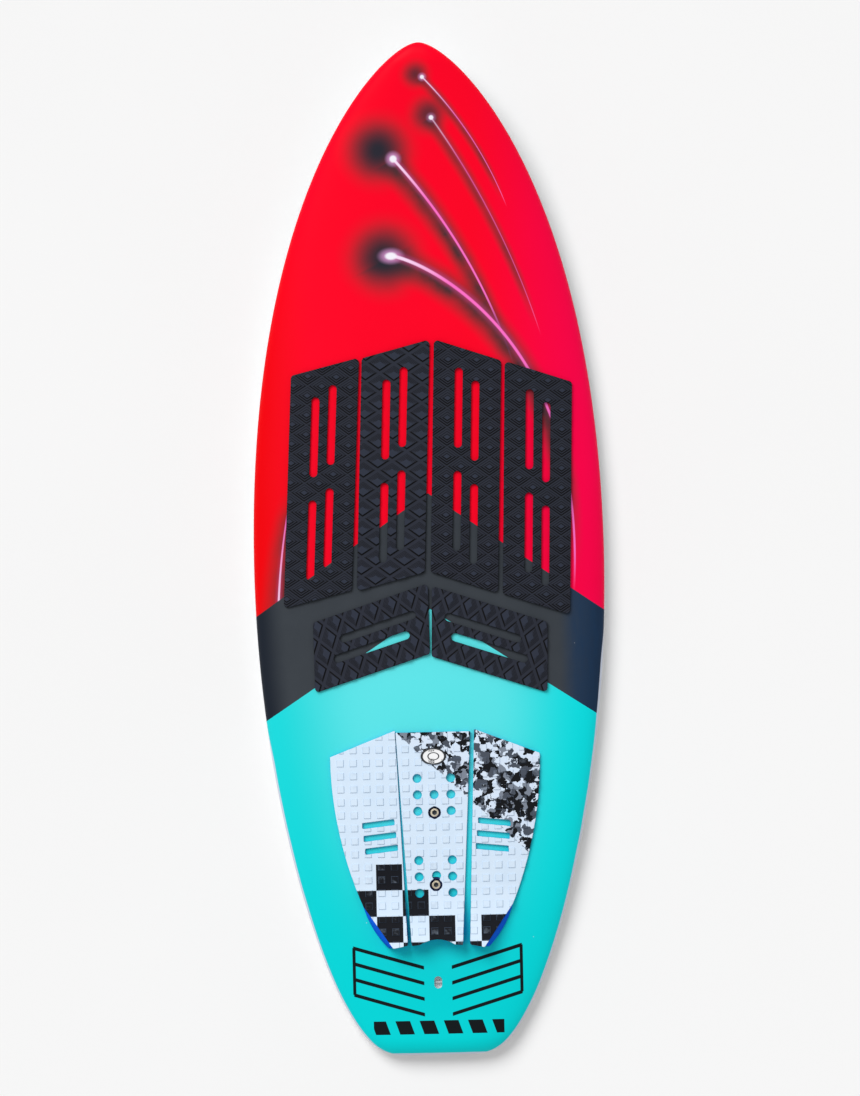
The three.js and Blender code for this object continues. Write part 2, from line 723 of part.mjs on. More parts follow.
for (const [side, { mirror, x }] of Object.entries(sidePanels)) {
  const top = sidePanelOutline(mirror, x, false);
  const base = sidePanelOutline(mirror, x, true);
  top.holes.push(...sideSlots(mirror, x));
  base.holes.push(...sideSlots(mirror, x));
  addPiece(`tail_pad_${side}_base`, baseOf(base, STEP_X), materials.blueEva);
  const wedge = kickOf(sidePanelOutline(mirror, x, true), sideFall(mirror, x), tailPad.kickFlare);
  addPiece(`tail_kick_${side}`, wedge, materials.blueEva);
  addPiece(`tail_pad_${side}_top`, coverOf(top, STEP_X), materials.whiteEva);
}
addPiece("tail_pad_centre_base", pierced(baseOf(centrePanelOutline(), STEP_CENTRE)), materials.blueEva);
addPiece("tail_kick_centre", kickOf(centrePanelOutline(), () => 1, STEP_CENTRE), materials.blueEva);
addPiece("tail_pad_centre_top", pierced(coverOf(centrePanelOutline(), STEP_CENTRE)), materials.whiteEva);
addPiece("tail_badge", tailBadge(), materials.badgeRubber);

export default board;
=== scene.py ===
"""A strapless kite foilboard lying on a pale floor, seen from straight above with its nose up.

Lengths are in millimetres until a mesh is made. +Y is to the nose, +X to the right, +Z up out of the deck.
"""

import math

import bpy
import mathutils
import numpy as np
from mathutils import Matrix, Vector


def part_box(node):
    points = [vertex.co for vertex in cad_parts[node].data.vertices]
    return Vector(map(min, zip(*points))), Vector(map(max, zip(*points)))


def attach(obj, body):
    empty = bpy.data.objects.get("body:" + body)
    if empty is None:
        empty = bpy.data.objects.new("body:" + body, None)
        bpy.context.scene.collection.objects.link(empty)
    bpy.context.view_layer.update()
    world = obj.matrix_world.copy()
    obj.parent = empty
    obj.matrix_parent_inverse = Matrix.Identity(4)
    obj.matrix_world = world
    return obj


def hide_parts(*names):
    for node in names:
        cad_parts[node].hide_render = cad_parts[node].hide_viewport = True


MM = 0.001

# ---------------- the board's shape

LENGTH = 1422.0
HALF = LENGTH / 2
MAX_HALF_WIDTH = 246.3
OUTLINE = [  # half of the outline, as cubic curves from the nose round to the squared tail
    [(0, HALF), (48.9, HALF), (MAX_HALF_WIDTH, 515), (MAX_HALF_WIDTH, -15)],
    [(MAX_HALF_WIDTH, -15), (MAX_HALF_WIDTH, -317), (175.5, -551.3), (136.2, -630.5)],
    [(136.2, -630.5), (97.1, -709.2), (74.9, -HALF), (38, -HALF)],
]
SKIN = 1.8
SEAM = 0.03  # half the joint between deck and bottom skins
THICKNESS = 60
END_THICKNESS = {"nose": 0.4, "tail": 0.5}  # share of the thickness that is left at the end
THINNING = {"nose": 2.6, "tail": 3.5}  # the higher, the nearer to the end it thins
ROCKER_START = {"nose": 120, "tail": 530}
ROCKER_LIFT = {"nose": 64, "tail": 9}
ROCKER_POWER = 2.2
END_ROUNDING = {"nose": 30, "tail": 24}
RAIL_SHARE = 0.4  # share of the thickness that is below the rail's seam
DOME_WIDE = 3  # powers of the superellipse that the deck's section follows
DOME_HIGH = 2.2
TUCK = 26  # radius of the rail under its seam
TUCK_SHARE = 0.6  # the most of the half width that it takes
ROWS = 170
DECK_COLUMNS = 72
TUCK_STEPS = 12
FLAT_STEPS = 10


def bezier(corners, count):
    """Points along the Bezier curve with these corners."""
    t = np.linspace(0, 1, count)[:, None]
    n = len(corners) - 1
    shares = [math.comb(n, k) * (1 - t) ** (n - k) * t**k for k in range(n + 1)]
    return sum(share * np.array(corner, float) for share, corner in zip(shares, corners))


outline_points = np.vstack([bezier(corners, 200) for corners in OUTLINE])[::-1]


def half_width(y):
    return np.interp(y, outline_points[:, 1], outline_points[:, 0])


def by_end(y, ends):
    return np.where(np.asarray(y) > 0, ends["nose"], ends["tail"])


def bottom_height(y):
    start = by_end(y, ROCKER_START)
    past = np.clip((np.abs(y) - start) / (HALF - start), 0, 1)
    return by_end(y, ROCKER_LIFT) * past**ROCKER_POWER


def board_thickness(y):
    share = np.clip(np.abs(y) / HALF, 0, 1)
    return THICKNESS * (1 - (1 - by_end(y, END_THICKNESS)) * share ** by_end(y, THINNING))


def fullness(y, inset=0.0):
    """0 at the very end of the board, 1 from the end's rounding inwards."""
    past = 1 - np.clip((HALF - inset - np.abs(y)) / (by_end(y, END_ROUNDING) - inset), 0, 1)
    return np.sqrt(np.clip(1 - past**2, 0, 1))


def rail_height(y):
    return bottom_height(y) + RAIL_SHARE * board_thickness(y)


def dome_height(y):
    return (1 - RAIL_SHARE) * board_thickness(y)


def deck_height(x, y):
    share = np.clip(np.abs(x) / np.maximum(half_width(y), 1e-3), 0, 1)
    dome = np.clip(1 - share**DOME_WIDE, 0, 1) ** (1 / DOME_HIGH)
    return rail_height(y) + dome_height(y) * fullness(y) * dome


def cross_sections(inset):
    """Y and half width of the board's sections from tail to nose, each as a column, closest at the ends."""
    station = HALF * np.sin(np.linspace(-np.pi / 2, np.pi / 2, ROWS))[:, None]
    return station * (HALF - inset) / HALF, np.maximum(half_width(station) - inset, 0.1)


def deck_grid(inset):
    """Points of the deck's surface, or of one inset from it, row by row from tail to nose."""
    y, width = cross_sections(inset)
    turn = np.pi * (1 - np.arange(DECK_COLUMNS + 1) / DECK_COLUMNS)[None, :]
    x = np.sign(np.cos(turn)) * np.abs(np.cos(turn)) ** (2 / DOME_WIDE) * width
    up = np.clip(np.sin(turn), 0, 1) ** (2 / DOME_HIGH)
    z = rail_height(y) + SEAM + (dome_height(y) - inset - SEAM) * fullness(y, inset) * up
    return np.stack([x, np.broadcast_to(y, x.shape), z], axis=-1)


def bottom_grid(inset):
    """Points of the bottom's surface, down round one rail, over the flat and up round the other."""
    y, width = cross_sections(inset)
    tuck = np.minimum(TUCK, TUCK_SHARE * width)
    depth = (rail_height(y) - bottom_height(y) - inset - SEAM) * fullness(y, inset)
    turn = np.pi / 2 * np.arange(TUCK_STEPS + 1)[None, :] / TUCK_STEPS
    out = width - tuck + tuck * np.cos(turn)
    down = depth * np.sin(turn)
    flat = np.linspace(-1, 1, FLAT_STEPS + 1)[None, 1:-1] * (width - tuck)
    x = np.hstack([-out, flat, out[:, ::-1]])
    drop = np.hstack([down, np.broadcast_to(depth, flat.shape), down[:, ::-1]])
    return np.stack([x, np.broadcast_to(y, x.shape), rail_height(y) - SEAM - drop], axis=-1)


# ---------------- making pieces

WELD = 0.002
SMOOTH = 38  # degrees up to which the edge between two faces is shaded smooth


def add_object(name, data):
    made = bpy.data.objects.new(name, data)
    bpy.context.scene.collection.objects.link(made)
    return made


def add_mesh(name, points, faces):
    mesh = bpy.data.meshes.new(name)
    mesh.from_pydata((np.asarray(points) * MM).tolist(), [], [list(map(int, face)) for face in faces])
    return add_object(name, mesh)


def apply_modifiers(piece):
    """Puts what the piece's modifiers make into its mesh."""
    bpy.context.view_layer.update()
    graph = bpy.context.evaluated_depsgraph_get()
    made = bpy.data.meshes.new_from_object(piece.evaluated_get(graph))
    piece.modifiers.clear()
    piece.data = made


def set_material(piece, material):
    piece.data.materials.clear()
    piece.data.materials.append(material)


def finish_piece(piece, material, smooth):
    set_material(piece, material)
    mesh = piece.data
    mesh.polygons.foreach_set("use_smooth", [True] * len(mesh.polygons))
    mesh.set_sharp_from_angle(angle=math.radians(smooth))
    mesh.update()


def add_piece(name, points, faces, material, node, body="board", smooth=SMOOTH, weld=False):
    """A mesh piece from points in millimetres that rides on a body and stands for a CAD node."""
    piece = add_mesh(name, points, faces)
    if weld:
        piece.modifiers.new("weld", "WELD").merge_threshold = WELD * MM
        apply_modifiers(piece)
    finish_piece(piece, material, smooth)
    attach(piece, body)
    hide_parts(node)
    return piece


def carve(piece, cutters, smooth=SMOOTH):
    """Cuts each cutter, given as points and faces, out of the piece."""
    material = piece.data.materials[0]
    tools = [add_mesh("cutter", points, faces) for points, faces in cutters]
    for k, tool in enumerate(tools):
        cut = piece.modifiers.new(f"cut_{k}", "BOOLEAN")
        cut.operation = "DIFFERENCE"
        cut.solver = "EXACT"
        cut.object = tool
    apply_modifiers(piece)
    for tool in tools:
        mesh = tool.data
        bpy.data.objects.remove(tool)
        bpy.data.meshes.remove(mesh)
    finish_piece(piece, material, smooth)


def store(piece, name, values):
    """Keeps a number at each of the piece's points for its material to read."""
    attribute = piece.data.attributes.new(name, "FLOAT", "POINT")
    attribute.data.foreach_set("value", np.asarray(values, np.float32))


def loft(rings):
    """Points and faces of rings joined one to the next, with a face over the first and the last."""
    count = len(rings[0])
    last = (len(rings) - 1) * count
    faces = []
    for low in range(0, last, count):
        for j in range(count):
            k = (j + 1) % count
            faces.append((low + j, low + k, low + count + k, low + count + j))
    faces.append(tuple(range(count))[::-1])
    faces.append(tuple(range(last, last + count)))
    return np.vstack(rings), faces


def circle(radius, y=0.0, steps=64):
    turn = np.arange(steps) * 2 * np.pi / steps
    return np.stack([radius * np.cos(turn), y + radius * np.sin(turn)], axis=-1)


def stadium(length, width, y, steps=16):
    """Points round a slot along Y with round ends, anticlockwise."""
    turn = np.linspace(0, np.pi, steps)
    radius = width / 2
    ahead = np.stack([radius * np.cos(turn), length / 2 - radius + radius * np.sin(turn)], axis=-1)
    return np.vstack([ahead, -ahead]) + (0, y)


def at_height(ring, z):
    return np.hstack([ring, np.full((len(ring), 1), float(z))])


def straight_cutter(ring, low, high):
    return loft([at_height(ring, low), at_height(ring, high)])


def grid_faces(rows, columns, start=0, flip=False):
    i, j = np.meshgrid(np.arange(rows - 1), np.arange(columns - 1), indexing="ij")
    a = start + i * columns + j
    quads = np.stack([a, a + 1, a + columns + 1, a + columns], axis=-1).reshape(-1, 4)
    return (quads[:, ::-1] if flip else quads).tolist()


def shell(outer, inner, faces_up):
    """Points and faces of the shell between two grids of the same size."""
    rows, columns = outer.shape[:2]
    count = rows * columns
    points = np.vstack([outer.reshape(-1, 3), inner.reshape(-1, 3)])
    faces = grid_faces(rows, columns) + grid_faces(rows, columns, count, flip=True)
    numbers = np.arange(count).reshape(rows, columns)
    sides = (numbers[0, :-1], numbers[:-1, -1], numbers[-1, :0:-1], numbers[:0:-1, 0])
    edge = np.concatenate(sides)
    for a, b in zip(edge, np.roll(edge, -1)):
        faces.append((b, a, a + count, b + count))
    return points, faces if faces_up else [tuple(face)[::-1] for face in faces]


# ---------------- shader graphs


def srgb(*channels):
    """A colour of 0 to 255 per channel as Blender's linear one."""
    shares = (c / 255 for c in channels)
    return tuple(c / 12.92 if c <= 0.04045 else ((c + 0.055) / 1.055) ** 2.4 for c in shares) + (1.0,)


def operator(operation, swapped=False):
    """Arithmetic on a value, as a method that adds the math node for it."""

    def apply(value, other):
        pair = (other, value) if swapped else (value, other)
        return value.graph.math(operation, *pair)

    return apply


class Value:
    """A node's output, which plain arithmetic turns into further nodes."""

    __add__ = operator("ADD")
    __radd__ = operator("ADD", swapped=True)
    __sub__ = operator("SUBTRACT")
    __rsub__ = operator("SUBTRACT", swapped=True)
    __mul__ = operator("MULTIPLY")
    __truediv__ = operator("DIVIDE")

    def __init__(self, graph, socket):
        self.graph = graph
        self.socket = socket

    def __abs__(self):
        return self.graph.math("ABSOLUTE", self)

    def step(self, low, high):
        """0 below low, 1 above high and smooth between; low may be above high."""
        inputs = {"Value": self, "From Min": low, "From Max": high}
        return self.graph.add("MapRange", inputs, interpolation_type="SMOOTHSTEP")

    def band(self, centre, half, soft=0.5):
        """1 within half of centre."""
        return abs(self - centre).step(half + soft / 2, half - soft / 2)


class Graph:
    """A node tree that is built from calls and arithmetic."""

    def __init__(self, owner):
        owner.use_nodes = True
        self.owner = owner
        self.tree = owner.node_tree
        self.tree.nodes.clear()

    def feed(self, socket, value):
        """Links a value to a socket, or sets the socket to a constant. Colours are 0 to 255 per channel."""
        if isinstance(value, Value):
            self.tree.links.new(value.socket, socket)
        else:
            socket.default_value = srgb(*value) if socket.type == "RGBA" else value

    def add(self, kind, inputs, output=0, **settings):
        """Adds a shader node and returns one of its outputs."""
        node = self.tree.nodes.new(f"ShaderNode{kind}")
        for name, setting in settings.items():
            setattr(node, name, setting)
        for name, value in inputs.items():
            self.feed(node.inputs[name], value)
        return Value(self, node.outputs[output])

    def finish(self, kind, surface):
        node = self.tree.nodes.new(f"ShaderNodeOutput{kind}")
        self.feed(node.inputs["Surface"], surface)
        return self.owner

    def math(self, operation, *values):
        return self.add("Math", dict(enumerate(values)), operation=operation)

    def most(self, value, *others):
        for other in others:
            value = self.math("MAXIMUM", value, other)
        return value

    def hypot(self, x, y):
        return self.math("SQRT", x * x + y * y)

    def mix(self, share, a, b):
        """Colour a where share is 0, b where it is 1."""
        return self.add("Mix", {0: share, 6: a, 7: b}, 2, data_type="RGBA")

    def coat(self, color, *coats):
        """Lays coats over a colour, each given as its share and its own colour."""
        for share, tint in coats:
            color = self.mix(share, color, tint)
        return color


class Material(Graph):
    """A material's node tree, which knows the place on the object in millimetres."""

    def __init__(self, name):
        super().__init__(bpy.data.materials.new(name))
        metres = self.add("TexCoord", {}, "Object")
        self.place = self.add("VectorMath", {0: metres, "Scale": 1 / MM}, operation="SCALE")
        self.x, self.y, self.z = (self.add("SeparateXYZ", {0: self.place}, axis) for axis in "XYZ")

    def stretch(self, *factors):
        return self.add("VectorMath", {0: self.place, 1: factors}, operation="MULTIPLY")

    def noise(self, size, detail=2.0, roughness=0.5, place=None, distortion=0.0):
        """Noise of about 0 to 1 whose lumps are about size across."""
        inputs = {
            "Vector": place or self.place, "Scale": 1 / size,
            "Detail": detail, "Roughness": roughness, "Distortion": distortion,
        }
        return self.add("TexNoise", inputs)

    def cells(self, size, place=None, output="Distance"):
        return self.add("TexVoronoi", {"Vector": place or self.place, "Scale": 1 / size}, output)

    def speckle(self, size, share):
        """1 in small round dots, one in a few cells."""
        return self.cells(size).step(share, share * 0.6)

    def attribute(self, name):
        return self.add("Attribute", {}, "Fac", attribute_name=name)

    def bump(self, height, depth, normal=None):
        """A normal from a height of 0 to 1 that stands for depth millimetres."""
        inputs = {"Distance": depth * MM, "Height": height}
        if normal:
            inputs["Normal"] = normal
        return self.add("Bump", inputs)

    def surface(self, color, roughness, normal, **settings):
        """Ends the graph in a Principled BSDF, whose other sockets are set by name."""
        inputs = {"Base Color": color, "Roughness": roughness, "Normal": normal}
        for name, setting in settings.items():
            inputs[name.replace("_", " ").title().replace("Ior", "IOR")] = setting
        return self.finish("Material", self.add("BsdfPrincipled", inputs))


# ---------------- deck paint

RED_EDGE = (78.4, 0.69)  # where the red's rear edge crosses the centre line, and its slope
TURQUOISE_EDGE = (-84.4, 0.655)
BARE_EDGE = {"left": -240.0, "right": -110.0, "fade": 60.0, "width": 2.6}  # where the rails' bare edge starts
STREAKS = [
    dict(head=(4.7, 662), end=(119, 480), arch=44, width=0.9, head_size=3.6, halo_size=25,
         halo=(-9, 4), shade=13, darkness=0.75, brightness=0.75),
    dict(head=(16.2, 605), end=(163, 300), arch=52, width=1.0, head_size=4.2, halo_size=34,
         halo=(-4, 4), shade=16, darkness=0.75, brightness=0.45),
    dict(head=(-38.3, 548), end=(123, 262), arch=70, width=1.9, head_size=6.4, halo_size=58,
         halo=(-21, 12), shade=30),
    dict(head=(-44.3, 412), end=(203, -58), arch=328, width=2.4, head_size=6.6, halo_size=62,
         halo=(-10, -2), shade=34, power=0.84, stretch=1.6),
    dict(head=(-214, -110), end=(-190, 90), arch=20, width=1.6, head_size=7.0, halo_size=30,
         halo=(-8, 0), shade=46, darkness=0.85, brightness=0.85, white=170),
]
CHEVRONS = (-594, -616, -638, -660)  # where the outlines round the leash plug would meet on the centre line
CHEVRON = {"slope": 0.3, "line": 2.6, "inner": 19, "outer": 119, "end": 117.5, "end_line": 2.2}
DASHES = {"y": -672, "half_height": 9.5, "reach": 92, "half_pitch": 17, "half_gap": 6.4}
DASH_LEAN = (0.35, 232)  # slant, and shift along the row


def streak(
    graph, color, head, end, arch, width, head_size, halo_size, halo, shade,
    darkness=1.0, brightness=1.0, power=1.0, stretch=1.0, white=80,
):
    """Airbrushes a glowing head with a dark halo and a thin arched tail over a colour.

    The tail bows out by a quarter of arch, sooner where power is below 1. Shade is the width of the dark on
    one side of it, and white how far out of the head it stays white.
    """
    length = math.dist(head, end)
    along_x, along_y = ((b - a) / length for a, b in zip(head, end))
    dx, dy = graph.x - head[0], graph.y - head[1]
    u = (dx * along_x + dy * along_y) / length
    within = graph.math("MAXIMUM", u, 0.002)
    rise = graph.math("POWER", within, power)
    left = 1.0 - u
    lean = (rise / within * power * left - rise) * (arch / length)
    slant = graph.math("SQRT", 1.0 + lean * lean)
    aside = (dy * along_x - dx * along_y - rise * left * arch) / slant
    ahead = u.step(-0.004, 0.006)
    thinner = 1.0 - u * 0.45
    blur = graph.noise(26, 3)

    from_shade = abs(aside / thinner + 0.22 * shade)
    shadow = from_shade.step(shade, 0.0) * (ahead * u.step(1.0, 0.7)) * (0.7 + blur * 0.6)
    from_halo = graph.hypot(dx - halo[0], dy - halo[1]) + blur * 4.0
    rust = from_halo.step(halo_size * 1.2, halo_size * 0.2)
    dark = from_halo.step(halo_size * 0.95, halo_size * 0.1)
    from_head = graph.hypot(dx / stretch, dy)
    glow = from_head.step(head_size * 2.1, head_size * 0.6)
    off_line = abs(aside)
    haze = off_line.step(4.2 * width, 0.0) * (ahead * u.step(0.75, 0.05))
    line = (off_line / thinner).step(width * 1.35, width * 0.5) * ahead
    pink = graph.mix(u.step(white / length, 0.0), (255, 112, 200), (250, 220, 248))
    return graph.coat(
        color,
        (shadow * (0.92 * darkness), (62, 47, 50)),
        (rust * (0.75 * darkness), (84, 50, 52)),
        (dark * (0.97 * darkness), (33, 42, 52)),
        (glow * (0.75 * brightness), (214, 150, 206)),
        (haze * (0.4 * brightness), (214, 84, 150)),
        (line * (u.step(1.02, 0.9) * brightness), pink),
        (from_head.step(head_size, head_size * 0.5), (246, 242, 252)),
    )


def tail_marks(graph):
    """Plain black chevron outlines round the leash plug, and a row of slanted dashes behind them."""
    side = abs(graph.x)
    folded = graph.y - side * CHEVRON["slope"]
    inner, outer = CHEVRON["inner"], CHEVRON["outer"]
    inside = side.step(outer, outer - 1) * side.step(inner, inner + 1)
    lines = graph.most(*(folded.band(centre, CHEVRON["line"]) for centre in CHEVRONS))
    middle, half = (CHEVRONS[0] + CHEVRONS[-1]) / 2, (CHEVRONS[0] - CHEVRONS[-1]) / 2
    ends = side.band(CHEVRON["end"], CHEVRON["end_line"]) * folded.band(middle, half)

    y, half_height, reach, half_pitch, half_gap = DASHES.values()
    slant, shift = DASH_LEAN
    dash = graph.math("PINGPONG", graph.x + graph.y * slant + shift, half_pitch)
    dashes = dash.step(half_gap, half_gap + 0.5) * graph.y.band(y, half_height)
    dashes *= side.step(reach, reach - 0.5)
    return graph.most(lines * inside, ends, dashes)


def deck_paint():
    graph = Material("deck_paint")
    side = abs(graph.x)
    rail = graph.attribute("rail")
    drift = graph.noise(160, 2)
    fine = graph.noise(1.6, 3, 0.7)
    grime = graph.noise(70, 4, 0.65)
    # Painted light: the red turns pinker and the turquoise lighter towards the right rail.
    painted_light_right = graph.x.step(60, 240)

    red = graph.coat(
        (255, 0, 38),
        # Painted shade: the red darkens towards the left rail.
        (graph.x.step(-150, -246), (232, 0, 4)),
        # Painted light, pinker towards the right rail.
        (painted_light_right, (254, 0, 78)),
        (drift * 0.25, (236, 0, 26)),
    )
    for settings in STREAKS:
        red = streak(graph, red, **settings)
    # Painted reflection: a streaky bluish sheen on the charcoal near the right rail.
    reflection_streaks = graph.noise(9, 4, 0.75, place=graph.stretch(1.0, 0.18, 1.0))
    painted_blue_sheen = graph.x.step(178, 206) * (0.55 + reflection_streaks * 0.6)
    charcoal = graph.coat(
        (54, 59, 65),
        (grime, (64, 69, 75)),
        # Painted shade: the charcoal darkens towards the rails.
        (rail.step(42, 4), (30, 36, 46)),
        # Painted reflection near the right rail.
        (painted_blue_sheen * 0.85, (28, 54, 84)),
    )
    turquoise = graph.coat(
        (100, 230, 234),
        (graph.y.step(-150, -640), (0, 210, 213)),
        (rail.step(150, 10) * 0.9, (2, 212, 214)),
        (drift * 0.25, (6, 208, 214)),
        # Painted light, lighter towards the right rail.
        (painted_light_right * 0.8, (0, 226, 230)),
        (tail_marks(graph), (20, 26, 28)),
    )

    def past(apex, slope):
        return graph.y - apex + side * slope + (fine - 0.5) * 1.2

    left, right, fade, width = BARE_EDGE.values()
    start = right - graph.x.step(100, -100) * (right - left)
    bare_width = graph.y.step(start, start - fade) * width * (0.7 + grime * 0.6)
    color = graph.coat(
        charcoal,
        (past(*TURQUOISE_EDGE).step(0.4, -0.4), turquoise),
        (past(*RED_EDGE).step(-0.4, 0.4), red),
        ((rail - bare_width).step(0.4, -0.4), (204, 212, 228)),
        (graph.speckle(46, 0.018) * 0.5, (230, 232, 236)),
    )
    normal = graph.bump(fine, 0.006, graph.bump(graph.noise(7, 2), 0.02))
    return graph.surface(color, 0.34 + grime * 0.16, normal, specular_ior_level=0.05)


def bottom_gloss():
    graph = Material("bottom_gloss")
    weave = graph.math("SINE", graph.x * 2.6) * graph.math("SINE", graph.y * 2.6)
    scuff = graph.noise(14, 5, 0.75, place=graph.stretch(1.0, 0.12, 1.0)).step(0.66, 0.74)
    color = graph.coat(
        (236, 239, 242),
        (graph.noise(90, 3), (248, 249, 250)),
        (weave.step(0.2, 1.0) * 0.12, (216, 222, 226)),
        (scuff * 0.18, (178, 184, 188)),
    )
    normal = graph.bump(weave, 0.004, graph.bump(graph.noise(11, 2), 0.03))
    return graph.surface(color, 0.16 + scuff * 0.25, normal, coat_weight=0.4)


# ---------------- foam pads' materials

CHECK = 36.6
CHECK_CORNER = (-84.0, -441.5)  # a corner of the checks
BLACK_CHECKS = [  # columns to the right and rows to the rear of that corner
    (0, 0), (-1, 1), (1, 1), (0, 2), (2, 2), (4, 2), (1, 3), (3, 3), (-1, 3),
]
CAMOUFLAGE_EDGE = (0.93, -298.6)  # slope, and height on the centre line
CAMOUFLAGE_PATCH = 7.6
CAMOUFLAGE_BEND = 22.0


def foam_skin(graph, depth=0.07):
    """The fine closed-cell grain of pressed foam."""
    return graph.bump(graph.noise(1.9, 3, 0.65), depth, graph.bump(graph.cells(0.55), depth * 0.6))


def black_eva():
    graph = Material("black_eva")
    fine = graph.noise(1.4, 3, 0.7)
    color = graph.coat(
        (34, 37, 47),
        (graph.noise(38, 3, 0.6), (41, 45, 57)),
        # Painted highlight: the diamonds' raised tops are lighter.
        (graph.attribute("relief").step(0.7, 1.0) * 0.36, (50, 58, 76)),
        (fine * 0.12, (58, 63, 78)),
        # Painted shadow: dark bands at the feet of the diamonds' steps, darkest on their rear sides.
        (graph.attribute("painted_step_shadow"), (2, 2, 4)),
        (graph.speckle(19, 0.03) * 0.35, (110, 116, 130)),
    )
    return graph.surface(color, 0.7 + fine * 0.2, foam_skin(graph), specular_ior_level=0.2)


def check_print(graph):
    """1 in the black squares printed over the rear of the tail pad."""
    squares = []
    for column, row in BLACK_CHECKS:
        across = graph.x.band(CHECK_CORNER[0] + (column + 0.5) * CHECK, CHECK / 2, 0.4)
        squares.append(across * graph.y.band(CHECK_CORNER[1] - (row + 0.5) * CHECK, CHECK / 2, 0.4))
    return graph.most(*squares)


def camouflage(graph):
    """Irregular patches of four greys."""
    bend_x, bend_y = graph.noise(9), graph.noise(10, place=graph.stretch(-1.0, 1.0, 1.0))
    x = graph.x + (bend_x - 0.5) * CAMOUFLAGE_BEND
    y = graph.y + (bend_y - 0.5) * CAMOUFLAGE_BEND
    place = graph.add("CombineXYZ", {0: x, 1: y})
    tone = graph.cells(CAMOUFLAGE_PATCH, place, "Color")
    pick = graph.add("SeparateColor", {0: tone})
    return graph.coat(
        (216, 230, 247),
        (graph.math("GREATER_THAN", pick, 0.38), (126, 135, 149)),
        (graph.math("GREATER_THAN", pick, 0.50), (74, 81, 93)),
        (graph.math("GREATER_THAN", pick, 0.64), (12, 14, 19)),
    )


def white_eva():
    graph = Material("white_eva")
    height = graph.attribute("relief")
    fine = graph.noise(1.2, 3, 0.7)
    slope, middle = CAMOUFLAGE_EDGE
    past = graph.y + graph.x * slope + graph.noise(16, 3) * 14.0
    worn = height.step(0.9, 1.0) * graph.noise(24, 4, 0.7).step(0.5, 0.7)
    # Painted shade: the raised squares' bevelled sides are darker.
    painted_flank_shade = height.step(0.02, 0.3) * height.step(0.98, 0.7)
    color = graph.coat(
        (206, 226, 246),
        (graph.noise(30, 3), (220, 235, 250)),
        (past.step(middle - 0.4, middle + 0.4), camouflage(graph)),
        (check_print(graph), (13, 16, 24)),
        (worn * 0.28, (160, 176, 196)),
        (painted_flank_shade * 0.24, (120, 140, 170)),
    )
    return graph.surface(color, 0.66 + fine * 0.2, foam_skin(graph, 0.04), specular_ior_level=0.18)


def blue_eva():
    graph = Material("blue_eva")
    layers = graph.math("SINE", graph.z * 4.0)
    color = graph.coat(
        (0, 80, 208),
        (graph.noise(20, 3), (0, 96, 226)),
        (layers.step(0.4, 1.0) * 0.12, (0, 70, 180)),
        (graph.noise(1.3, 4, 0.7) * 0.1, (30, 120, 250)),
    )
    return graph.surface(color, 0.7, foam_skin(graph), specular_ior_level=0.12)


def badge_rubber():
    """White with a black rim and a plain black ring."""
    graph = Material("badge_rubber")
    reach = graph.hypot(graph.x / BADGE["half_length"], (graph.y - BADGE["y"]) / BADGE["half_width"])
    mark = graph.most(reach.step(0.8, 0.84), reach.band(0.42, 0.05, 0.03))
    color = graph.coat((246, 247, 248), (mark, (22, 25, 30)), (graph.noise(3, 3) * 0.08, (150, 156, 162)))
    return graph.surface(color, 0.42, graph.bump(graph.noise(0.9, 2), 0.03), specular_ior_level=0.4)


# ---------------- other materials


def worn_metal(name, dark, light, roughness, metallic, brushed=(1.0, 1.0, 1.0)):
    graph = Material(name)
    fine = graph.noise(0.7, 4, 0.7, place=graph.stretch(*brushed))
    patch = graph.noise(4, 3)
    socket = graph.attribute("socket")
    worn = fine.step(0.6, 0.8)
    # Painted shade: the points in a bolt's hex socket turn dark teal.
    color = graph.coat(dark, (patch, light), (worn * 0.35, dark), (socket * 0.9, (12, 44, 70)))
    return graph.surface(color, roughness + patch * 0.18, graph.bump(fine, 0.02), metallic=metallic)


def moulded_plastic(name, dark, light, roughness, grain=0.8, depth=0.03, specular=0.5):
    graph = Material(name)
    fine = graph.noise(grain, 3, 0.65)
    color = graph.coat(dark, (graph.noise(18, 3), light), (fine * 0.15, light))
    rough = roughness + fine * 0.15
    return graph.surface(color, rough, graph.bump(fine, depth), specular_ior_level=specular)


def bead_foam(name, dark, light, bead):
    graph = Material(name)
    beads = graph.cells(bead)
    color = graph.coat(light, (beads.step(0.2, 0.75), dark), (graph.noise(40, 2) * 0.3, light))
    return graph.surface(color, 0.85, graph.bump(beads, -0.25), specular_ior_level=0.3)


def stringer_wood():
    graph = Material("stringer_wood")
    grain = graph.noise(6, 4, 0.6, place=graph.stretch(1.0, 0.03, 1.0), distortion=0.6)
    pores = graph.noise(1.1, 3, 0.7, place=graph.stretch(1.0, 0.06, 1.0))
    dark_pores = pores.step(0.6, 0.75) * 0.4
    color = graph.coat((176, 128, 76), (grain, (222, 184, 132)), (dark_pores, (134, 92, 52)))
    return graph.surface(color, 0.62, graph.bump(pores, 0.05))


# ---------------- foam sheets on the deck

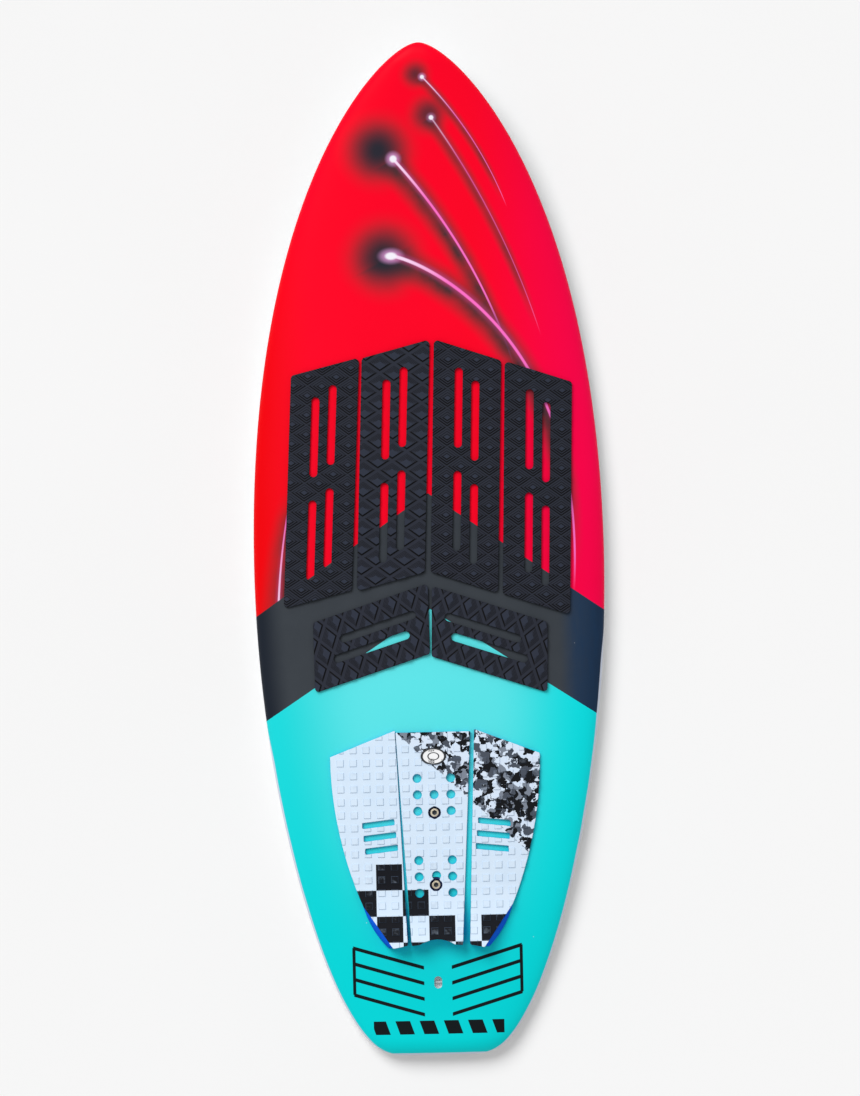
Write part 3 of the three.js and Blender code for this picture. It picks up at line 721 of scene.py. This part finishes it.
PAD_LIFT = 0.4
PAD_HEIGHT = 4.5
PAD_BEVEL = 0.5
RELIEF = 1.5
LATTICE = (40.0, 27.3)  # a diamond's width and height
FRONT_PAD = {"width": 95, "side": 327, "rise": 28.5, "corner": 5.5}
MID_PAD = {"width": 163, "side": 99, "rise": 50, "corner": 5}
SLOT = (112, 11.2)
FRONT_SLOTS = {"aside": 11.8, "ahead": 72.5, "stagger": 9, "shift": 0.6}  # four, about a pad's middle
MID_SLOTS = ((9.5, 16), (0, -12.2))
STEPS = {  # out of a diamond's middle, where each step down ends, and the darkness and width of the shadow painted at its foot
    "whole": {
        "front": ((0.28, 0.85, 0.05), (0.55, 0.8, 0.05), (0.82, 0.7, 0.05)),
        "rear": ((0.28, 1.0, 0.10), (0.55, 1.0, 0.10), (0.82, 1.0, 0.10)),
    },
    "nested": {
        "front": ((0.22, 0.65, 0.05), (0.38, 0.65, 0.05), (0.54, 0.65, 0.05), (0.70, 0.6, 0.05)),
        "rear": ((0.70, 1.0, 0.13),),
    },
}
STEP_WIDTH = 0.045
# How far past its width the shadow painted at a step's foot fades out.
PAINTED_SHADOW_FADE = 0.03
WIDEST_GAP = 0.09  # between two of the grid's lines, as a share of a diamond
ON_LEVEL = 0.04  # a point this close to the line that splits triangles counts as on it
FRONT_PADS = {  # side, place, turn, where a diamond's middle lies, and the pattern's kind
    "front_pad_outer_left": (1, (-148.8, 95.6), -3, (36.4, 163.3), "whole"),
    "front_pad_inner_left": (1, (-47.4, 118.4), -2.4, (-21.6, 143.1), "nested"),
    "front_pad_inner_right": (-1, (54.6, 114.9), -2, (13.0, 150.0), "whole"),
    "front_pad_outer_right": (-1, (154.3, 82.5), -1.7, (33.7, 137.3), "whole"),
}
MID_PADS = {  # the last is how far the pattern is turned on the pad
    "mid_pad_left": (1, (-83.2, -123.7), 0.6, (-59.5, 2.3), "nested", 105.8),
    "mid_pad_right": (-1, (82.6, -128.5), -1.4, (59.5, 2.3), "nested", -105.8),
}


def segment_distance(p, a, b):
    ab = np.subtract(b, a)
    t = np.clip(((p - a) @ ab) / (ab @ ab), 0, 1)
    return np.linalg.norm(p - a - t[:, None] * ab, axis=1)


def polygon_distance(p, corners):
    """Distance from points to a polygon, negative inside it."""
    corners = np.asarray(corners, float)
    distance = np.full(len(p), np.inf)
    inside = np.zeros(len(p), bool)
    for a, b in zip(corners, np.roll(corners, -1, axis=0)):
        distance = np.minimum(distance, segment_distance(p, a, b))
        spans = (a[1] > p[:, 1]) != (b[1] > p[:, 1])
        with np.errstate(divide="ignore", invalid="ignore"):
            crossing = a[0] + (p[:, 1] - a[1]) * (b[0] - a[0]) / (b[1] - a[1])
        inside ^= spans & (p[:, 0] < crossing)
    return np.where(inside, -distance, distance)


def slot_distance(p, x, y, angle):
    length, width = SLOT
    reach = (length - width) / 2 * np.array([math.cos(angle), math.sin(angle)])
    middle = np.array([x, y])
    return segment_distance(p, middle - reach, middle + reach) - width / 2


def without(distance, *holes):
    for hole in holes:
        distance = np.maximum(distance, -hole)
    return distance


def turned(points, degrees):
    c, s = math.cos(math.radians(degrees)), math.sin(math.radians(degrees))
    return np.asarray(points, float) @ np.array([[c, s], [-s, c]])


def fans(corners):
    return [(corners[0], corners[k], corners[k + 1]) for k in range(1, len(corners) - 1)]


def split_triangles(points, field, triangles, level):
    """Splits triangles where the field passes a level.

    Returns the points, the field, and the triangles on its lower and upper sides.
    """
    field = np.where(np.abs(field - level) < ON_LEVEL, level, field)
    side = np.sign(field - level).astype(int)
    sides = side[triangles]
    lower = (sides <= 0).all(axis=1)
    upper = ~lower & (sides >= 0).all(axis=1)
    below, above = triangles[lower].tolist(), triangles[upper].tolist()
    new_points, middle = [], {}

    def between(a, b):
        key = (a, b) if a < b else (b, a)
        if key not in middle:
            t = (level - field[a]) / (field[b] - field[a])
            middle[key] = len(points) + len(new_points)
            new_points.append(points[a] + t * (points[b] - points[a]))
        return middle[key]

    for triangle in triangles[~lower & ~upper].tolist():
        low, high = [], []
        for a, b in zip(triangle, triangle[1:] + triangle[:1]):
            if side[a] <= 0:
                low.append(a)
            if side[a] >= 0:
                high.append(a)
            if side[a] * side[b] < 0:
                low.append(between(a, b))
                high.append(low[-1])
        below += fans(low)
        above += fans(high)
    if new_points:
        points = np.vstack([points, new_points])
        field = np.append(field, np.full(len(new_points), level))
    return points, field, np.array(below, int).reshape(-1, 3), np.array(above, int).reshape(-1, 3)


def foam_sheet(
    name, node, material, first, second, distance, under, height, relief, bevel, smooth,
    to_board=np.asarray, marks=(), padded=True,
):
    """A foam sheet cut from a pattern's grid.

    first and second are the grid's lines in the pattern's own coordinates, which to_board turns into places
    on the board. distance is below 0 inside the sheet, and under and height give its underside and thickness.
    relief gives the pattern's height from 0 to 1, and marks name further numbers for the material to read.
    """
    s, t = (g.ravel() for g in np.meshgrid(first, second, indexing="ij"))
    pattern = np.stack([s, t], axis=-1)
    field = distance(to_board(pattern))
    quads = np.array(grid_faces(len(first), len(second)))
    quads = quads[(field[quads] < 1.0).any(axis=1)]
    rises = relief(pattern)[quads]
    fold = np.abs(rises[:, 0] - rises[:, 2]) > np.abs(rises[:, 1] - rises[:, 3])
    one_way, other_way = quads[:, [[0, 1, 2], [0, 2, 3]]], quads[:, [[0, 1, 3], [1, 2, 3]]]
    triangles = np.where(fold[:, None, None], one_way, other_way).reshape(-1, 3)
    a, b, c = to_board(pattern[triangles[0]])
    if (b - a)[0] * (c - a)[1] - (b - a)[1] * (c - a)[0] < 0:
        triangles = triangles[:, ::-1]

    pattern, field, inner, outer = split_triangles(pattern, field, triangles, -bevel)
    pattern, field, rim, _ = split_triangles(pattern, field, outer, 0.0)
    used, triangles = np.unique(np.vstack([inner, rim]), return_inverse=True)
    triangles = triangles.reshape(-1, 3)
    pattern, field = pattern[used], field[used]

    place = to_board(pattern)
    low = under(place[:, 0], place[:, 1])
    into_edge = np.clip((field + bevel) / bevel, 0, 1)
    raised = relief(pattern) * (1 - 0.7 * into_edge)
    high = low + height - bevel * (1 - np.sqrt(1 - into_edge**2)) + RELIEF * (raised - 0.5)
    count = len(place)
    points = np.vstack([np.column_stack([place, high]), np.column_stack([place, low])])
    edges = np.vstack([triangles[:, [0, 1]], triangles[:, [1, 2]], triangles[:, [2, 0]]])
    edges = {tuple(edge) for edge in edges.tolist()}
    walls = [(b, a, a + count, b + count) for a, b in edges if (b, a) not in edges]
    faces = triangles.tolist() + (triangles[:, ::-1] + count).tolist() + walls
    piece = add_piece(name, points, faces, material, node, smooth=smooth)
    store(piece, "relief", np.concatenate([raised, np.full(count, 0.4)]))
    for mark, values in marks:
        store(piece, mark, np.tile(values(pattern), 2))


def on_deck(x, y, lift=PAD_LIFT):
    return deck_height(x, y) + lift


def step_profile(kind, side):
    """Marks out of a diamond's middle, and how deep the pattern is and how dark its painted shadow is at
    each, from 0 to 1.
    """
    marks, depths, shades = [], [], []
    for k, (foot, dark, width) in enumerate(STEPS[kind][side]):
        marks += [foot - STEP_WIDTH, foot, foot + width, foot + width + PAINTED_SHADOW_FADE]
        depths += [k, k + 1, k + 1, k + 1]
        shades += [0, dark, dark, 0]
    return marks, np.array(depths) / len(STEPS[kind][side]), shades


def diamonds(pattern, kind):
    """The pattern's height and the darkness of the shadow painted at its steps' feet, from 0 to 1."""
    a, b = (pattern % 1 - 0.5).T
    reach = {"front": 2 * np.maximum(a, -b), "rear": 2 * np.maximum(-a, b)}
    depth, shade = {}, {}
    for side, out in reach.items():
        marks, depths, shades = step_profile(kind, side)
        depth[side] = np.interp(out, marks, depths)
        shade[side] = np.interp(out, marks, shades)
    facing = np.where(reach["rear"] > reach["front"], shade["rear"], shade["front"])
    return 1 - np.maximum(depth["front"], depth["rear"]), facing


def lattice_lines(low, high, kind, rising):
    """Where the pattern needs grid lines, over whole cells from low to high."""
    edges = {0.5, 1.0}
    for side, sign in (("rear", -1), ("front", 1)):
        edges |= {0.5 + sign * mark / 2 for mark in step_profile(kind, side)[0]}
    lines = [0.0]
    for edge in sorted(edges):
        parts = math.ceil((edge - lines[-1]) / WIDEST_GAP)
        lines += np.linspace(lines[-1], edge, parts + 1)[1:].tolist()
    within = np.array(lines[:-1]) if rising else 1 - np.array(lines[:0:-1])
    return np.concatenate([cell + within for cell in range(low, high)])


def diamond_pad(node, material, shape, slots, mirror, place, turn, phase, kind, pattern_turn=0):
    """A black foam panel with the diamond lattice pressed into it."""
    half, radius = shape["width"] / 2, shape["corner"]
    across = np.array([mirror * half, shape["rise"] / 2])
    ahead = np.array([0, shape["side"] / 2 - radius * np.linalg.norm(across) / half])
    across *= 1 - radius / half
    corners = [sx * across + sy * ahead for sx, sy in ((-1, -1), (1, -1), (1, 1), (-1, 1))]

    def to_board(pattern):
        s, t = pattern[:, 0] - 0.5, pattern[:, 1] - 0.5
        diamond = np.column_stack([LATTICE[0] / 2 * (s + t), LATTICE[1] / 2 * (s - t)])
        return turned(turned(diamond, pattern_turn) + phase, turn) + place

    def distance(p):
        local = turned(p - place, -turn)
        outer = polygon_distance(local, corners) - radius
        return without(outer, *(slot_distance(local, *slot) for slot in slots))

    reach = math.hypot(shape["width"], shape["side"] + shape["rise"]) + math.hypot(*phase)
    cells = math.ceil(reach / min(LATTICE)) + 1
    first, second = (lattice_lines(-cells, cells, kind, rising) for rising in (True, False))
    # Its mark is the shadow painted at the feet of the steps.
    foam_sheet(
        f"{node}_foam", node, material, first, second, distance, on_deck, PAD_HEIGHT,
        lambda p: diamonds(p, kind)[0], PAD_BEVEL, 30, to_board, [("painted_step_shadow", lambda p: diamonds(p, kind)[1])],
    )


def front_slots(mirror):
    aside, ahead, stagger, shift = FRONT_SLOTS.values()
    return [
        (mirror * column * aside, column * stagger + shift + row * ahead, math.pi / 2)
        for column in (-1, 1)
        for row in (-1, 1)
    ]


def mid_slots(mirror):
    slant = math.atan2(mirror * MID_PAD["rise"], MID_PAD["width"])
    return [(mirror * x, y, slant) for x, y in MID_SLOTS]


def make_black_pads():
    material = black_eva()
    for pads, shape, slots in ((FRONT_PADS, FRONT_PAD, front_slots), (MID_PADS, MID_PAD, mid_slots)):
        for node, (mirror, *layout) in pads.items():
            diamond_pad(node, material, shape, slots(mirror), mirror, *layout)


# ---------------- tail pad

TAIL_Y = -254.0
BASE = 2.0
COVER = 3.0
GLUE = 0.3
COVER_BEVEL = 0.5
BASE_BEVEL = 0.2
KICK = {"start": -474, "end": -560, "height": 24, "power": 1.7, "flare": 8}
WEDGE_START = KICK["start"] - 16  # behind the vents
WEDGE_LEAST = 0.25
WEDGE_BEVEL = 0.001
SIDE_FRONT = [(91.5, -35.5), (92, -110), (75, -185)]  # the outer edge's curve, before the kick's corner
KICK_CORNER = (49.5, -246)
REAR_CORNER = (8.5, -306)
INNER_CORNER = (-12, -302)
FLARED_REAR = (KICK_CORNER, (39, -282), (14.5, -306))
SIDE_PANELS = {"left": (-1, -53.4), "right": (1, 58.0)}
# the edges of the first of three slots, and how much further each next one's are
SIDE_SLOT = {"inner": (3, -2), "outer": (48.5, -1.7), "front": (-124, -18), "rear": (-132.4, -18)}
SIDE_SLOT_SLANT = 5
CENTRE_PANEL = {"front": (52.4, -257), "rear": (36, -556.5), "notch": (25, 8)}
SQUARE_PITCH = 18.3
SQUARE_FOOT = 5.2  # half widths of a raised square
SQUARE_TOP = 4.3
SQUARE_LINES = (0, 2.2, SQUARE_TOP, SQUARE_FOOT, 7.2, SQUARE_PITCH / 2)  # out of a square's middle
SQUARE_START = (-3.0, -262.0)
VENT = 12.6
VENT_COLUMNS = {"fronts": (-321.8, -437), "aside": 23.5, "apart": 23}  # of three vents each
LONE_VENTS = ((0, -344.8), (1, -458.5))
BOLT_HOLE = 17.5
RAGGED = 0.35
BOLT_Y = {"front": -370.25, "rear": -471.75}
BADGE = {"y": -291, "half_length": 18, "half_width": 12, "height": 0.9}


def kick_rise(y):
    share = np.clip((KICK["start"] - y) / (KICK["start"] - KICK["end"]), 0, 1)
    return KICK["height"] * share ** KICK["power"]


def cover_under(x, y):
    gap = GLUE * (1 + (np.asarray(y) < KICK["start"]))
    return deck_height(x, y) + PAD_LIFT + BASE + gap + kick_rise(y)


def side_distance(mirror, x, rear):
    """Distance to a side panel whose rear edge is given, with its three slots."""

    def on_board(corners):
        return np.asarray(corners) * (mirror, 1) + (x, TAIL_Y)

    edge = bezier([*SIDE_FRONT, KICK_CORNER], 24)
    outline = on_board(np.vstack([[(0, 0)], edge, rear[1:], [INNER_CORNER]]))
    slots = []
    for k in range(3):
        inner, outer, front, rear = (first + k * step for first, step in SIDE_SLOT.values())
        outside = [(outer, front - SIDE_SLOT_SLANT), (outer, rear - SIDE_SLOT_SLANT)]
        slots.append(on_board([(inner, front), *outside, (inner, rear)]))
    return lambda p: without(polygon_distance(p, outline), *(polygon_distance(p, slot) for slot in slots))


def centre_outline():
    (front, front_y), (rear, rear_y), (notch, depth) = CENTRE_PANEL.values()
    curve = bezier([(-notch, rear_y + 1), (0, rear_y + 2 * depth), (notch, rear_y + 1)], 24)
    return np.array([(-front, front_y), (-rear, rear_y), *curve.tolist(), (rear, rear_y), (front, front_y)])


def centre_holes():
    fronts, aside, apart = VENT_COLUMNS.values()
    vents = [(x, front - apart * k) for front in fronts for x in (-aside, aside) for k in range(3)]
    holes = [(x, y, VENT) for x, y in (*vents, *LONE_VENTS)]
    return holes + [(0, y, BOLT_HOLE) for y in BOLT_Y.values()]


def centre_distance(p):
    ragged = RAGGED * np.sin(7 * np.arctan2(p[:, 1] + 421, p[:, 0]) + 0.9 * p[:, 0])
    holes = []
    for x, y, diameter in centre_holes():
        wobble = ragged if diameter == BOLT_HOLE else 0
        holes.append(np.hypot(p[:, 0] - x, p[:, 1] - y) - diameter / 2 + wobble)
    return without(polygon_distance(p, centre_outline()), *holes)


def square_lines(start, low, high):
    first = math.floor((low - start) / SQUARE_PITCH) - 1
    last = math.ceil((high - start) / SQUARE_PITCH) + 1
    offsets = [*SQUARE_LINES, *(-line for line in SQUARE_LINES[1:-1])]
    return np.sort([start + k * SQUARE_PITCH + line for k in range(first, last + 1) for line in offsets])


def square_relief(pattern):
    """Raised squares with bevelled sides."""
    offsets = (pattern - SQUARE_START + SQUARE_PITCH / 2) % SQUARE_PITCH - SQUARE_PITCH / 2
    return np.interp(np.abs(offsets), [SQUARE_TOP, SQUARE_FOOT], [1, 0]).min(axis=1)


def flat_relief(pattern):
    return np.full(len(pattern), 0.5)


def kick_share(mirror, x, place):
    """Share of the kick's height left outside the straight rear cut of a side panel's cover."""
    a, b = (np.array(corner) * (mirror, 1) + (x, TAIL_Y) for corner in (KICK_CORNER, REAR_CORNER))
    t = np.clip(((place - a) @ (b - a)) / ((b - a) @ (b - a)), 0, 1)
    nearest = a + t[:, None] * (b - a)
    outside = np.sign(mirror * (place[:, 0] - nearest[:, 0])) * np.linalg.norm(place - nearest, axis=1)
    return np.clip(1 - outside / KICK["flare"], 0, 1)


def tail_panel(side, white, blue, box, kick_box, cover, base, wedge, share):
    """A panel's blue base, its white cover and the blue wedge between them under the kick."""
    lines = [square_lines(start, *reach) for start, reach in zip(SQUARE_START, box)]
    foam_sheet(f"tail_pad_{side}_layer", f"tail_pad_{side}_base", blue, *lines, base,
               on_deck, BASE, flat_relief, BASE_BEVEL, 40)
    foam_sheet(f"tail_pad_{side}_cover", f"tail_pad_{side}_top", white, *lines, cover,
               cover_under, COVER, square_relief, COVER_BEVEL, 40)
    lines = [np.arange(low - 4, high + 4, gap) for (low, high), gap in zip(kick_box, (2.5, 3.0))]
    foam_sheet(
        f"tail_kick_{side}_wedge", f"tail_kick_{side}", blue, *lines,
        lambda p: np.maximum(wedge(p), p[:, 1] - WEDGE_START),
        lambda x, y: on_deck(x, y, PAD_LIFT + BASE + GLUE), 0.0,
        lambda p: 0.5 + np.maximum(kick_rise(p[:, 1]) * share(p), WEDGE_LEAST) / RELIEF, WEDGE_BEVEL, 50,
    )


def make_tail_pad():
    white, blue = white_eva(), blue_eva()
    for side, (mirror, x) in SIDE_PANELS.items():
        reach = sorted((x - mirror * 14, x + mirror * 96))
        cover = side_distance(mirror, x, np.array([KICK_CORNER, REAR_CORNER], float))
        base = side_distance(mirror, x, bezier(FLARED_REAR, 12))
        tail_panel(side, white, blue, (reach, (-563, -252)), (reach, (-562, -484)), cover, base, base,
                   lambda p: kick_share(mirror, x, p))
    tail_panel("centre", white, blue, ((-56, 56), (-560, -254)), ((-42, 42), (-560, -484)),
               centre_distance, centre_distance, lambda p: polygon_distance(p, centre_outline()),
               lambda p: np.ones(len(p)))


def make_badge():
    def distance(p):
        x, y = p[:, 0] / BADGE["half_length"], (p[:, 1] - BADGE["y"]) / BADGE["half_width"]
        return (np.hypot(x, y) - 1) * BADGE["half_width"]

    def rim(p):
        return np.interp(-distance(p), [0.0, 0.4, 1.9, 2.3], [0.3, 0.62, 0.62, 0.2])

    foam_sheet(
        "tail_badge_plate", "tail_badge", badge_rubber(), np.linspace(-20, 20, 61),
        np.linspace(-305, -277, 43),
        distance, lambda x, y: cover_under(x, y) + COVER + GLUE, BADGE["height"], rim, 0.3, SMOOTH,
        padded=False,
    )


# ---------------- hull

FOIL_BOX_Y = -421
FLANGE = (192, 46, 12)  # length, width and corner radius
BODY = (176, 34, 10)
SLOT_MOUTH = (152, 17, 5)
SLOT_ROOF = (142, 15, 5)
FLANGE_HEIGHT = 4
ROOF_UNDER = 36  # height of the slot's roof
ROOF = 5
BOLT_CLEARANCE = 4.5
FIT_GAP = 0.3
SLEEVE_OUTER = 22
PLUG = {"y": -609, "outer": 28, "slot": (17, 11), "slot_depth": 10, "pin": 4, "pin_length": 19}


def box_ring(size, z, grow=0.0, steps=8):
    """Points round the foil box at a height: a rectangle with round corners, larger by grow all round."""
    length, width, radius = size[0] + 2 * grow, size[1] + 2 * grow, size[2] + grow
    turn = np.linspace(0, np.pi / 2, steps)
    arc = radius * np.stack([np.cos(turn), np.sin(turn)], axis=-1)
    ring = []
    for k, (sx, sy) in enumerate(((1, 1), (-1, 1), (-1, -1), (1, -1))):
        corner = np.array([sx * (width / 2 - radius), sy * (length / 2 - radius)])
        ring.append(corner + turned(arc, 90 * k))
    return at_height(np.vstack(ring) + (0, FOIL_BOX_Y), z)


def make_hull():
    points, faces = shell(deck_grid(0), deck_grid(SKIN), True)
    deck = add_piece("deck_skin", points, faces, deck_paint(), "deck_laminate", weld=True)
    holes = [circle(SLEEVE_OUTER / 2 + FIT_GAP, y) for y in BOLT_Y.values()]
    holes.append(stadium(*PLUG["slot"], PLUG["y"]))
    carve(deck, [straight_cutter(hole, 20, 90) for hole in holes], smooth=50)
    place = np.empty(len(deck.data.vertices) * 3)
    deck.data.vertices.foreach_get("co", place)
    x, y, _ = (place.reshape(-1, 3) / MM).T
    store(deck, "rail", np.minimum(half_width(y) - np.abs(x), y + HALF))

    points, faces = shell(bottom_grid(0), bottom_grid(SKIN), False)
    bottom = add_piece("bottom_skin", points, faces, bottom_gloss(), "bottom_laminate", weld=True)
    opening = (FLANGE[0] + 2 * FIT_GAP, FLANGE[1] + 2 * FIT_GAP, FLANGE[2])
    carve(bottom, [loft([box_ring(opening, z) for z in (-10, 20)])], smooth=50)


def make_foil_box():
    """The box's body and flange with its tapered slot and the two bolt holes in its roof."""
    material = moulded_plastic("box_plastic", (20, 21, 23), (38, 40, 43), 0.42)
    points, faces = loft([
        box_ring(FLANGE, 0, -0.4),
        box_ring(FLANGE, 0.4),
        box_ring(FLANGE, FLANGE_HEIGHT),
        box_ring(BODY, FLANGE_HEIGHT),
        box_ring(BODY, ROOF_UNDER + ROOF - 0.6),
        box_ring(BODY, ROOF_UNDER + ROOF, -0.6),
    ])
    box = add_piece("foil_box_body", points, faces, material, "foil_box")
    lead = 1.5
    below = 10
    wider = [part + (part - narrow) / ROOF_UNDER * below for part, narrow in zip(SLOT_MOUTH, SLOT_ROOF)]
    slot = loft([
        box_ring(wider, -below, lead),
        box_ring(SLOT_MOUTH, -0.01, lead),
        box_ring(SLOT_MOUTH, lead),
        box_ring(SLOT_ROOF, ROOF_UNDER),
    ])
    holes = [circle(BOLT_CLEARANCE, y) for y in BOLT_Y.values()]
    carve(box, [slot, *(straight_cutter(hole, ROOF_UNDER - 2, ROOF_UNDER + 8) for hole in holes)])


# ---------------- hardware

BOLT = {"thread": 7.8, "pitch": 1.25, "depth": 0.62, "head": 13, "head_height": 8, "hex": 6}
SOCKET_DEPTH = 5.5
BOLT_STEPS = 72
TURNS_PER_PITCH = 6  # rings of points along one turn of the thread
PLAIN_SHANK = 4
THREAD_START = 1.2
KNURL = 0.16
SOCKET_RINGS = 3
PIN_STEPS = 40


def heights(node):
    """The lowest and highest of a CAD node."""
    return (corner.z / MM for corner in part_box(node))


def make_bolt(end, y, material):
    """An M8 cap head screw with a real helical thread, a knurled head and a hex socket."""
    node = f"foil_bolt_{end}"
    low, high = heights(node)
    under_head = high - BOLT["head_height"]
    turn = np.arange(BOLT_STEPS) * 2 * np.pi / BOLT_STEPS
    shank, head = BOLT["thread"] / 2, BOLT["head"] / 2
    profile = [(shank - THREAD_START, low)]
    for z in np.arange(low + 0.5, under_head - PLAIN_SHANK, BOLT["pitch"] / TURNS_PER_PITCH):
        phase = (z / BOLT["pitch"] - turn / (2 * np.pi)) % 1
        tooth = np.abs(phase * 2 - 1)
        start = min((z - low) / THREAD_START, 1)
        profile.append((shank - BOLT["depth"] * (1 - tooth * start) - 0.4 * (1 - start), z))
    knurl = head - KNURL * (np.arange(BOLT_STEPS) % 2)
    hexagon = BOLT["hex"] / 2 / np.cos((turn + np.pi / 6) % (np.pi / 3) - np.pi / 6)
    profile += [
        (shank - BOLT["depth"] * 0.2, under_head - PLAIN_SHANK + 0.3),
        (shank, under_head - 0.2),
        (head - 0.6, under_head),
        (head - 0.25, under_head + 0.3),
        (knurl, under_head + 0.6),
        (knurl, high - 1.3),
        (head - 0.2, high - 0.9),
        (head - 0.9, high - 0.1),
        (head - 1.3, high),
        (hexagon + 0.35, high),
        (hexagon, high - 0.35),
        (hexagon, high - SOCKET_DEPTH + 0.3),
        (0.4, high - SOCKET_DEPTH),
    ]
    points, faces = loft([at_height(circle(radius, y, BOLT_STEPS), z) for radius, z in profile])
    piece = add_piece(f"{node}_screw", points, faces, material, node, f"{end}_bolt", smooth=32)
    # The socket's points are marked for the shade painted in it.
    in_socket = np.arange(len(points)) >= len(points) - SOCKET_RINGS * BOLT_STEPS
    store(piece, "socket", in_socket)


def pin_cutter(radius, reach, chamfer, z):
    """Points and faces of a round bar across the leash plug."""
    rings = []
    for x, shrink in ((-reach, chamfer), (chamfer - reach, 0), (reach - chamfer, 0), (reach, chamfer)):
        ring = circle(radius - shrink, steps=PIN_STEPS) + (PLUG["y"], z)
        rings.append(np.column_stack([np.full(PIN_STEPS, x), ring]))
    return loft(rings)


def make_plug():
    material = moulded_plastic("plug_plastic", (232, 236, 240), (250, 251, 252), 0.34, 0.9, 0.02)
    low, high = heights("leash_plug_cup")
    profile = ((0.8, low), (0, low + 0.8), (0, high - 0.5), (0.5, high))
    rings = [at_height(circle(PLUG["outer"] / 2 - inset, PLUG["y"]), z) for inset, z in profile]
    cup = add_piece("leash_plug_body", *loft(rings), material, "leash_plug_cup")
    z = sum(heights("leash_plug_pin")) / 2
    radius, reach = PLUG["pin"] / 2, PLUG["pin_length"] / 2
    cavity = straight_cutter(stadium(*PLUG["slot"], PLUG["y"]), high - PLUG["slot_depth"], high + 5)
    carve(cup, [cavity, pin_cutter(radius + 0.25, reach + FIT_GAP, 0.01, z)])
    steel = worn_metal("pin_steel", (160, 166, 172), (214, 218, 222), 0.3, 0.6, (0.1, 1.0, 1.0))
    add_piece("leash_plug_bar", *pin_cutter(radius, reach, 0.4, z), steel, "leash_plug_pin")


def dress_frame(nodes):
    """Gives the CAD nodes that stay their materials, and makes the bolts."""
    steel = worn_metal("bolt_steel", (178, 162, 132), (240, 230, 206), 0.34, 0.55)
    materials = {
        "bolt_sleeve": moulded_plastic("sleeve_plastic", (10, 24, 70), (18, 38, 98), 0.5, specular=0.3),
        "bolt_washer": worn_metal("washer_steel", (20, 38, 104), (44, 70, 150), 0.42, 0.3),
        "foam_core": bead_foam("core_foam", (214, 214, 206), (248, 248, 243), 3.2),
        "foil_box_block": bead_foam("dense_foam", (196, 170, 96), (222, 202, 138), 0.9),
        "stringer": stringer_wood(),
    }
    for name, piece in nodes.items():
        for start, material in materials.items():
            if name.startswith(start):
                set_material(piece, material)
    for end, y in BOLT_Y.items():
        make_bolt(end, y, steel)


# ---------------- stage

CAMERA_LENS = 500
CAMERA_SENSOR = 36
FRAME_HEIGHT = 1541  # millimetres that the frame takes in from top to bottom
CAMERA_AIM = (1.7, 1.3, 25)
NOSE_LEAN = 1.2466  # degrees that the nose leans left in the frame
KEY_FROM = (-1.1, 1.6, 2.3)
KEY_STRENGTH = 2.0
KEY_SPREAD = 34  # degrees
WORLD_STRENGTH = 0.56
WORLD_SHADE = ((0.55, 1.0), (0.92, 0.9))  # height in the sky from 0 to 1, and brightness from there on
FLOOR_REACH = 6000
FLOOR_Z = -0.2


def make_camera():
    data = bpy.data.cameras.new("camera")
    data.lens = CAMERA_LENS
    data.sensor_width = CAMERA_SENSOR
    camera = add_object("camera", data)
    distance = FRAME_HEIGHT * CAMERA_LENS / CAMERA_SENSOR
    x, y, z = CAMERA_AIM
    camera.location = (x * MM, y * MM, (z + distance) * MM)
    camera.rotation_euler = (0, 0, math.radians(-NOSE_LEAN))
    bpy.context.scene.camera = camera


def make_floor():
    graph = Material("floor_paper")
    color = graph.mix(graph.noise(600, 2), (243, 243, 243), (246, 246, 246))
    material = graph.surface(color, 0.9, graph.bump(graph.noise(4, 3), 0.02), specular_ior_level=0.1)
    corners = [(x * FLOOR_REACH, y * FLOOR_REACH, FLOOR_Z) for x, y in ((-1, -1), (1, -1), (1, 1), (-1, 1))]
    floor = add_mesh("floor", corners, [(0, 1, 2, 3)])
    set_material(floor, material)


def make_world():
    """Soft light from all round, dimmer overhead so that the flat deck doesn't mirror it."""
    world = bpy.data.worlds.new("studio")
    bpy.context.scene.world = world
    graph = Graph(world)
    direction = graph.add("TexCoord", {}, "Generated")
    shade = graph.add("ValToRGB", {0: graph.add("SeparateXYZ", {0: direction}, "Z")})
    for element, (height, grey) in zip(shade.socket.node.color_ramp.elements, WORLD_SHADE):
        element.color = (grey, grey, grey, 1)
        element.position = height
    graph.finish("World", graph.add("Background", {"Color": shade, "Strength": WORLD_STRENGTH}))


def make_key():
    """Broad light from the upper left, which brings out the foam's relief."""
    data = bpy.data.lights.new("key", "SUN")
    data.energy = KEY_STRENGTH
    data.angle = math.radians(KEY_SPREAD)
    key = add_object("key", data)
    toward = mathutils.Vector(KEY_FROM)
    key.rotation_euler = toward.to_track_quat("Z", "Y").to_euler()
    key.location = toward


# ---------------- the scene

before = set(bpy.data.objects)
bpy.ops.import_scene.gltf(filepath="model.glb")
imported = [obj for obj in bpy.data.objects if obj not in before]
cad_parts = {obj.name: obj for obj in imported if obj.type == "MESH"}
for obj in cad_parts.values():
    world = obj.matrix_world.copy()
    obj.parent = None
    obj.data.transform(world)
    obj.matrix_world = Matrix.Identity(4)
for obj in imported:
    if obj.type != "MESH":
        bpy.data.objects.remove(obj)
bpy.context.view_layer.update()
bpy.context.scene.view_settings.view_transform = "Standard"
make_camera()
make_floor()
make_world()
make_key()
make_hull()
make_foil_box()
make_black_pads()
make_tail_pad()
make_badge()
make_plug()
dress_frame(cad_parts)
